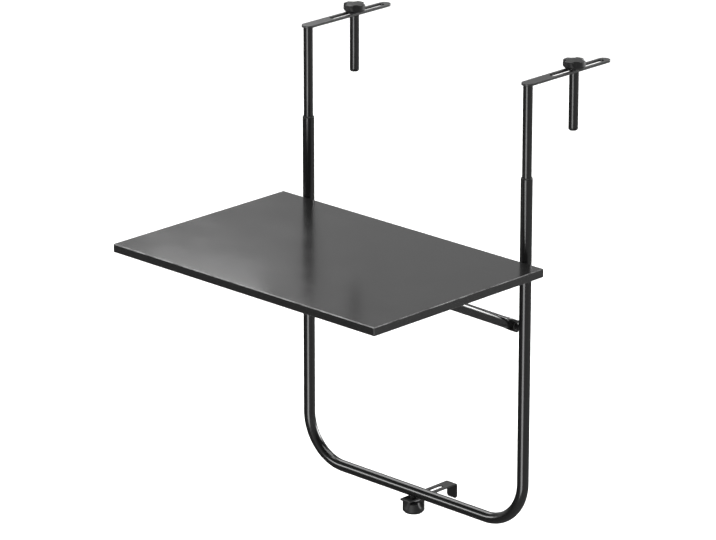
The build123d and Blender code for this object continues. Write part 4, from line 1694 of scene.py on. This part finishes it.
@dataclass(frozen=True, kw_only=True)
class PowderCoat(BlackCoat):
    """Baked powder coat on steel, satin, with a low swell and fine grains."""

    swell_scale: float
    grain_scale: float
    patch_scale: float = 14.0
    bump_strength: float = 0.5

    def height(self, canvas: Canvas) -> bpy.types.NodeSocket:
        """Height of the film's swell and grains."""
        scales = {"Swell Scale": self.swell_scale, "Grain Scale": self.grain_scale}
        return canvas.effects.place(canvas.board, Effect.COAT_GRAIN, scales)


@dataclass(frozen=True, kw_only=True)
class MouldedPlastic(BlackCoat):
    """Moulded plastic with the grain of its mould."""

    cell_scale: float
    patch_scale: float = 60.0
    bump_strength: float = 0.6

    def height(self, canvas: Canvas) -> bpy.types.NodeSocket:
        """Height of the mould's grain."""
        return canvas.effects.place(canvas.board, Effect.MOULD_GRAIN, {"Cell Scale": self.cell_scale})


@dataclass(frozen=True, kw_only=True)
class PlatedSteel:
    """Bare or blackened steel: metal with the cloudy tone of its plating bath."""

    dark: Colour
    light: Colour
    roughness: tuple[float, float]
    cloud_scale: float
    cloud_detail: float = 5.0
    cloud_span: tuple[float, float] = (0.35, 0.65)
    swell_scale: float = 900.0
    grain_scale: float = 5200.0
    relief: float = 0.00002
    patch_scale: float = 120.0
    bump_strength: float = 0.4

    def dress(self, canvas: Canvas) -> None:
        """Lay the steel on a material.

        Args:
            canvas: The material.
        """
        board = canvas.board
        place = board.add("ShaderNodeTexCoord").outputs["Object"]
        clouds = board.noise(place, self.cloud_scale, self.cloud_detail)
        ramp = board.add("ShaderNodeValToRGB", {"Fac": clouds})
        stops = zip(ramp.color_ramp.elements, self.cloud_span, (self.dark, self.light))
        for stop, position, colour in stops:
            stop.position = position
            stop.color = colour
        canvas.colour(ramp.outputs["Color"])
        canvas.gloss(self.patch_scale, self.roughness)
        scales = {"Swell Scale": self.swell_scale, "Grain Scale": self.grain_scale}
        canvas.relief(canvas.effects.place(board, Effect.COAT_GRAIN, scales), self.relief, self.bump_strength)
        canvas.hold("Metallic", 1.0)


TUBE_COAT = PowderCoat(
    colour=grey(0.0050),
    edge_colour=grey(0.014),
    edge_amount=0.6,
    roughness=(0.16, 0.21),
    specular=0.42,
    relief=0.00004,
    swell_scale=420.0,
    grain_scale=3200.0,
)
FINISHES: dict[Finish, BlackCoat | PlatedSteel] = {
    Finish.FRAME_COAT: TUBE_COAT,
    Finish.POST_COAT: TUBE_COAT,
    Finish.PLATE_COAT: PowderCoat(
        colour=grey(0.0060),
        edge_colour=grey(0.016),
        edge_amount=0.7,
        roughness=(0.29, 0.38),
        specular=0.45,
        relief=0.00006,
        swell_scale=480.0,
        grain_scale=3200.0,
    ),
    # The top's pale edge colour is a painted highlight: its rounded folds are painted light to give the
    # bright line along its edges.
    Finish.TOP_COAT: PowderCoat(
        colour=grey(0.0090),
        edge_colour=grey(0.240),
        edge_amount=0.9,
        roughness=(0.16, 0.21),
        specular=0.52,
        relief=0.00002,
        swell_scale=360.0,
        grain_scale=3000.0,
    ),
    Finish.KNOB_PLASTIC: MouldedPlastic(
        colour=grey(0.0060),
        edge_colour=grey(0.016),
        edge_amount=0.6,
        roughness=(0.40, 0.52),
        specular=0.22,
        relief=0.00006,
        cell_scale=2600.0,
    ),
    Finish.GUIDE_PLASTIC: MouldedPlastic(
        colour=grey(0.0060),
        edge_colour=grey(0.014),
        edge_amount=0.4,
        roughness=(0.36, 0.48),
        specular=0.35,
        relief=0.00003,
        cell_scale=3600.0,
    ),
    Finish.NYLON: MouldedPlastic(
        colour=grey(0.030),
        edge_colour=grey(0.060),
        edge_amount=0.4,
        roughness=(0.40, 0.52),
        specular=0.5,
        relief=0.00003,
        cell_scale=3600.0,
    ),
    Finish.ZINC_STEEL: PlatedSteel(
        dark=grey(0.46, -0.02), light=grey(0.62, 0.01), roughness=(0.26, 0.40), cloud_scale=220.0
    ),
    Finish.BLACK_STEEL: PlatedSteel(
        dark=grey(0.030), light=grey(0.055, 0.02), roughness=(0.32, 0.46), cloud_scale=260.0
    ),
}


class FinishLibrary:
    """Materials of the table, one for each finish."""

    def __init__(self) -> None:
        """Build the shared effects and every material."""
        effects = EffectGroups()
        self.materials = {finish: self.make(finish, look, effects) for finish, look in FINISHES.items()}

    @staticmethod
    def make(finish: Finish, look: BlackCoat | PlatedSteel, effects: EffectGroups) -> bpy.types.Material:
        """Make the material of one finish.

        Args:
            finish: Slot that it belongs to.
            look: What the finish looks like.
            effects: The shared groups.

        Returns:
            The material.
        """
        material = bpy.data.materials.new(f"{finish.value}_look")
        material.use_nodes = True
        board = NodeBoard(material.node_tree)
        shader = board.add("ShaderNodeBsdfPrincipled")
        look.dress(Canvas(board, shader, effects))
        board.add("ShaderNodeOutputMaterial", {"Surface": shader.outputs["BSDF"]})
        return material

    def material(self, finish: Finish) -> bpy.types.Material:
        """Material of a finish."""
        return self.materials[finish]

    def dress_nodes(self, nodes: dict[str, bpy.types.Object]) -> None:
        """Give every CAD node the material of the slot that the record names for it.

        Args:
            nodes: The frame's nodes by name.
        """
        for name, node in nodes.items():
            for slot in node.material_slots:
                finish = Finish(slot.material.name.split(".")[0])
                slot.material = self.material(finish)
                LOG.info("%s takes the finish %s", name, finish.value)


@dataclass(frozen=True)
class Softbox:
    """Area light that shows in reflections but not to the camera."""

    name: str
    at: Point
    towards: Point
    size: tuple[float, float]
    watts: float

    def build(self) -> None:
        """Hang the light."""
        data = bpy.data.lights.new(self.name, "AREA")
        data.shape = "RECTANGLE"
        data.size, data.size_y = self.size
        data.energy = self.watts
        lamp = bpy.data.objects.new(self.name, data)
        lamp.location = self.at
        way = Vector(self.towards) - Vector(self.at)
        lamp.rotation_euler = way.to_track_quat("-Z", "Y").to_euler()
        lamp.visible_camera = False
        bpy.context.scene.collection.objects.link(lamp)


SOFTBOXES = (
    # Long light lines on the legs, posts and pins.
    Softbox(
        "front_softbox", at=(2.55, -7.6, -3.2), towards=(0.0, 0.0, -0.45), size=(4.4, 4.4), watts=420.0
    ),
    # Second light line on the foot tube.
    Softbox(
        "front_left_softbox", at=(-2.1, -2.4, 0.0), towards=(0.0, 0.0, -0.8), size=(1.5, 0.8), watts=42.0
    ),
    # Sheen on the top, paler towards its left end.
    Softbox("rear_softbox", at=(1.0, 2.75, 0.10), towards=(0.2, 0.0, -0.35), size=(1.3, 1.3), watts=100.0),
    Softbox(
        "rear_left_softbox", at=(-2.64, 1.17, 2.18), towards=(0.0, -0.2, -0.5), size=(2.0, 2.1), watts=66.0
    ),
    Softbox(
        "rear_high_softbox", at=(-0.7, 2.5, 2.46), towards=(0.2, -0.2, -0.3), size=(1.2, 1.0), watts=20.0
    ),
    # Glow by the left end of the top's front edge.
    Softbox(
        "left_softbox", at=(-0.72, 0.205, 0.027), towards=(-0.62, -0.5, -0.3), size=(0.26, 0.03), watts=0.058
    ),
)


@dataclass(frozen=True)
class Studio:
    """Pale floor, soft light from a graded sky and softboxes, and the camera at the photograph's angle."""

    floor_z: float = -1.05
    floor_half: float = 40.0
    floor_colour: Colour = (0.88, 0.88, 0.88, 1.0)
    floor_roughness: float = 0.9
    floor_specular: float = 0.1
    sky_low: float = 0.90
    sky_high: float = 0.06
    sky_top: float = 0.75
    horizon_band: float = 0.16
    ground: float = 0.30
    ground_lean: float = 0.30
    sun_strength: float = 2.9
    sun_angle: float = math.radians(50.0)
    camera_at: Point = (4.7418, -5.0510, 1.9901)
    azimuth: float = math.radians(43.98)
    elevation: float = math.radians(18.86)
    lens: float = 218.5
    sensor: float = 36.0
    softboxes: tuple[Softbox, ...] = SOFTBOXES

    def build(self) -> None:
        """Set the floor, the lights and the camera."""
        self.floor()
        self.sky()
        self.sun()
        for softbox in self.softboxes:
            softbox.build()
        self.camera()
        bpy.context.scene.view_settings.view_transform = "Standard"

    def sun(self) -> None:
        """Hang a wide, soft light overhead that brightens the whole floor alike."""
        data = bpy.data.lights.new("overhead_light", "SUN")
        data.energy = self.sun_strength
        data.angle = self.sun_angle
        lamp = bpy.data.objects.new("overhead_light", data)
        lamp.visible_camera = False
        bpy.context.scene.collection.objects.link(lamp)

    def sky(self) -> None:
        """Grade the surroundings.

        Formula: above the horizon the light falls with height from low to high. Below it the light is
        a constant and a share that leans towards the right, never under nothing. A narrow band round
        the horizon blends the two. Seen directly it is white, so that low views show no horizon.
        """
        world = bpy.data.worlds.new("studio")
        world.use_nodes = True
        board = NodeBoard(world.node_tree)
        way = board.add("ShaderNodeTexCoord").outputs["Generated"]
        x, _, z = board.add("ShaderNodeSeparateXYZ", {"Vector": way}).outputs
        above = board.spread(z, (0.0, self.sky_top), self.sky_low, self.sky_high)
        lean = board.maths("ADD", board.maths("MULTIPLY", x, self.ground_lean), self.ground)
        below = board.maths("MAXIMUM", lean, 0.0)
        share = board.spread(z, (-self.horizon_band, self.horizon_band), 0.0, 1.0)
        rest = board.maths("SUBTRACT", 1.0, share)
        upper, lower = board.maths("MULTIPLY", above, share), board.maths("MULTIPLY", below, rest)
        direct = board.add("ShaderNodeLightPath").outputs["Is Camera Ray"]
        shown = board.maths("MAXIMUM", board.maths("ADD", upper, lower), direct)
        back = board.add("ShaderNodeBackground", {"Color": (1.0, 1.0, 1.0, 1.0), "Strength": shown})
        board.add("ShaderNodeOutputWorld", {"Surface": back.outputs[0]})
        bpy.context.scene.world = world

    def floor(self) -> None:
        """Lay the floor, one square sheet that lights the table from below without showing in its gloss."""
        edge = np.array([-self.floor_half, self.floor_half])
        x, y = np.meshgrid(edge, edge)
        sheet = Surface.from_grid(np.stack([x, y, np.full_like(x, self.floor_z)], axis=-1))
        mesh = bpy.data.meshes.new("floor")
        mesh.from_pydata(sheet.points.tolist(), [], sheet.quads.tolist())
        floor = bpy.data.objects.new("floor", mesh)
        floor.visible_glossy = False
        floor.visible_shadow = False
        bpy.context.scene.collection.objects.link(floor)
        material = bpy.data.materials.new("pale_floor")
        material.use_nodes = True
        shader = material.node_tree.nodes["Principled BSDF"]
        shader.inputs["Base Color"].default_value = self.floor_colour
        shader.inputs["Roughness"].default_value = self.floor_roughness
        shader.inputs["Specular IOR Level"].default_value = self.floor_specular
        mesh.materials.append(material)

    def camera(self) -> None:
        """Place the camera with its back along the photograph's azimuth and elevation."""
        data = bpy.data.cameras.new("camera")
        data.lens = self.lens
        data.sensor_width = self.sensor
        camera = bpy.data.objects.new("camera", data)
        level = math.cos(self.elevation)
        aside, behind = math.sin(self.azimuth) * level, -math.cos(self.azimuth) * level
        back = Vector((aside, behind, math.sin(self.elevation)))
        camera.location = self.camera_at
        camera.rotation_euler = (-back).to_track_quat("-Z", "Y").to_euler()
        bpy.context.scene.collection.objects.link(camera)
        bpy.context.scene.camera = camera


def table_knobs() -> list[StarKnob]:
    """The two knobs on the arms and the taller one under the spacer.

    Returns:
        The knobs, each in its place.
    """
    knobs = [
        StarKnob(
            name=f"{side.label}_knob",
            body=f"{side.label}_knob",
            node=f"{side.label}_hook_knob",
            foot=(side.value * RailHook.leg_x, RailHook.pin_y, HOOK_KNOB_Z),
            height=0.014,
            scoop_turn=math.radians(52.0),
        )
        for side in Side
    ]
    under_spacer = StarKnob(
        name="foot_knob",
        body="foot_knob",
        node="spacer_knob",
        foot=(0.0, 0.0, FOOT_KNOB_Z),
        height=0.020,
        scoop_turn=0.0,
        neck=0.003,
        neck_radius=0.010,
    )
    return [*knobs, under_spacer]


def main() -> None:
    """Load the frame, dress it piece by piece, and set the studio round it."""
    logging.basicConfig(format="%(name)s: %(message)s")
    LOG.setLevel(logging.INFO)
    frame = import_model()
    finishes = FinishLibrary()
    finishes.dress_nodes(frame["nodes"])
    bench = Bench(finishes)
    hooks = [RailHook(side) for side in Side]
    for assembly in [BentFrame(), *hooks, TableTop(), SupportBow(), FootSpacer(), *table_knobs()]:
        assembly.build(bench)
    Studio().build()


if __name__ == "__main__":
    main()
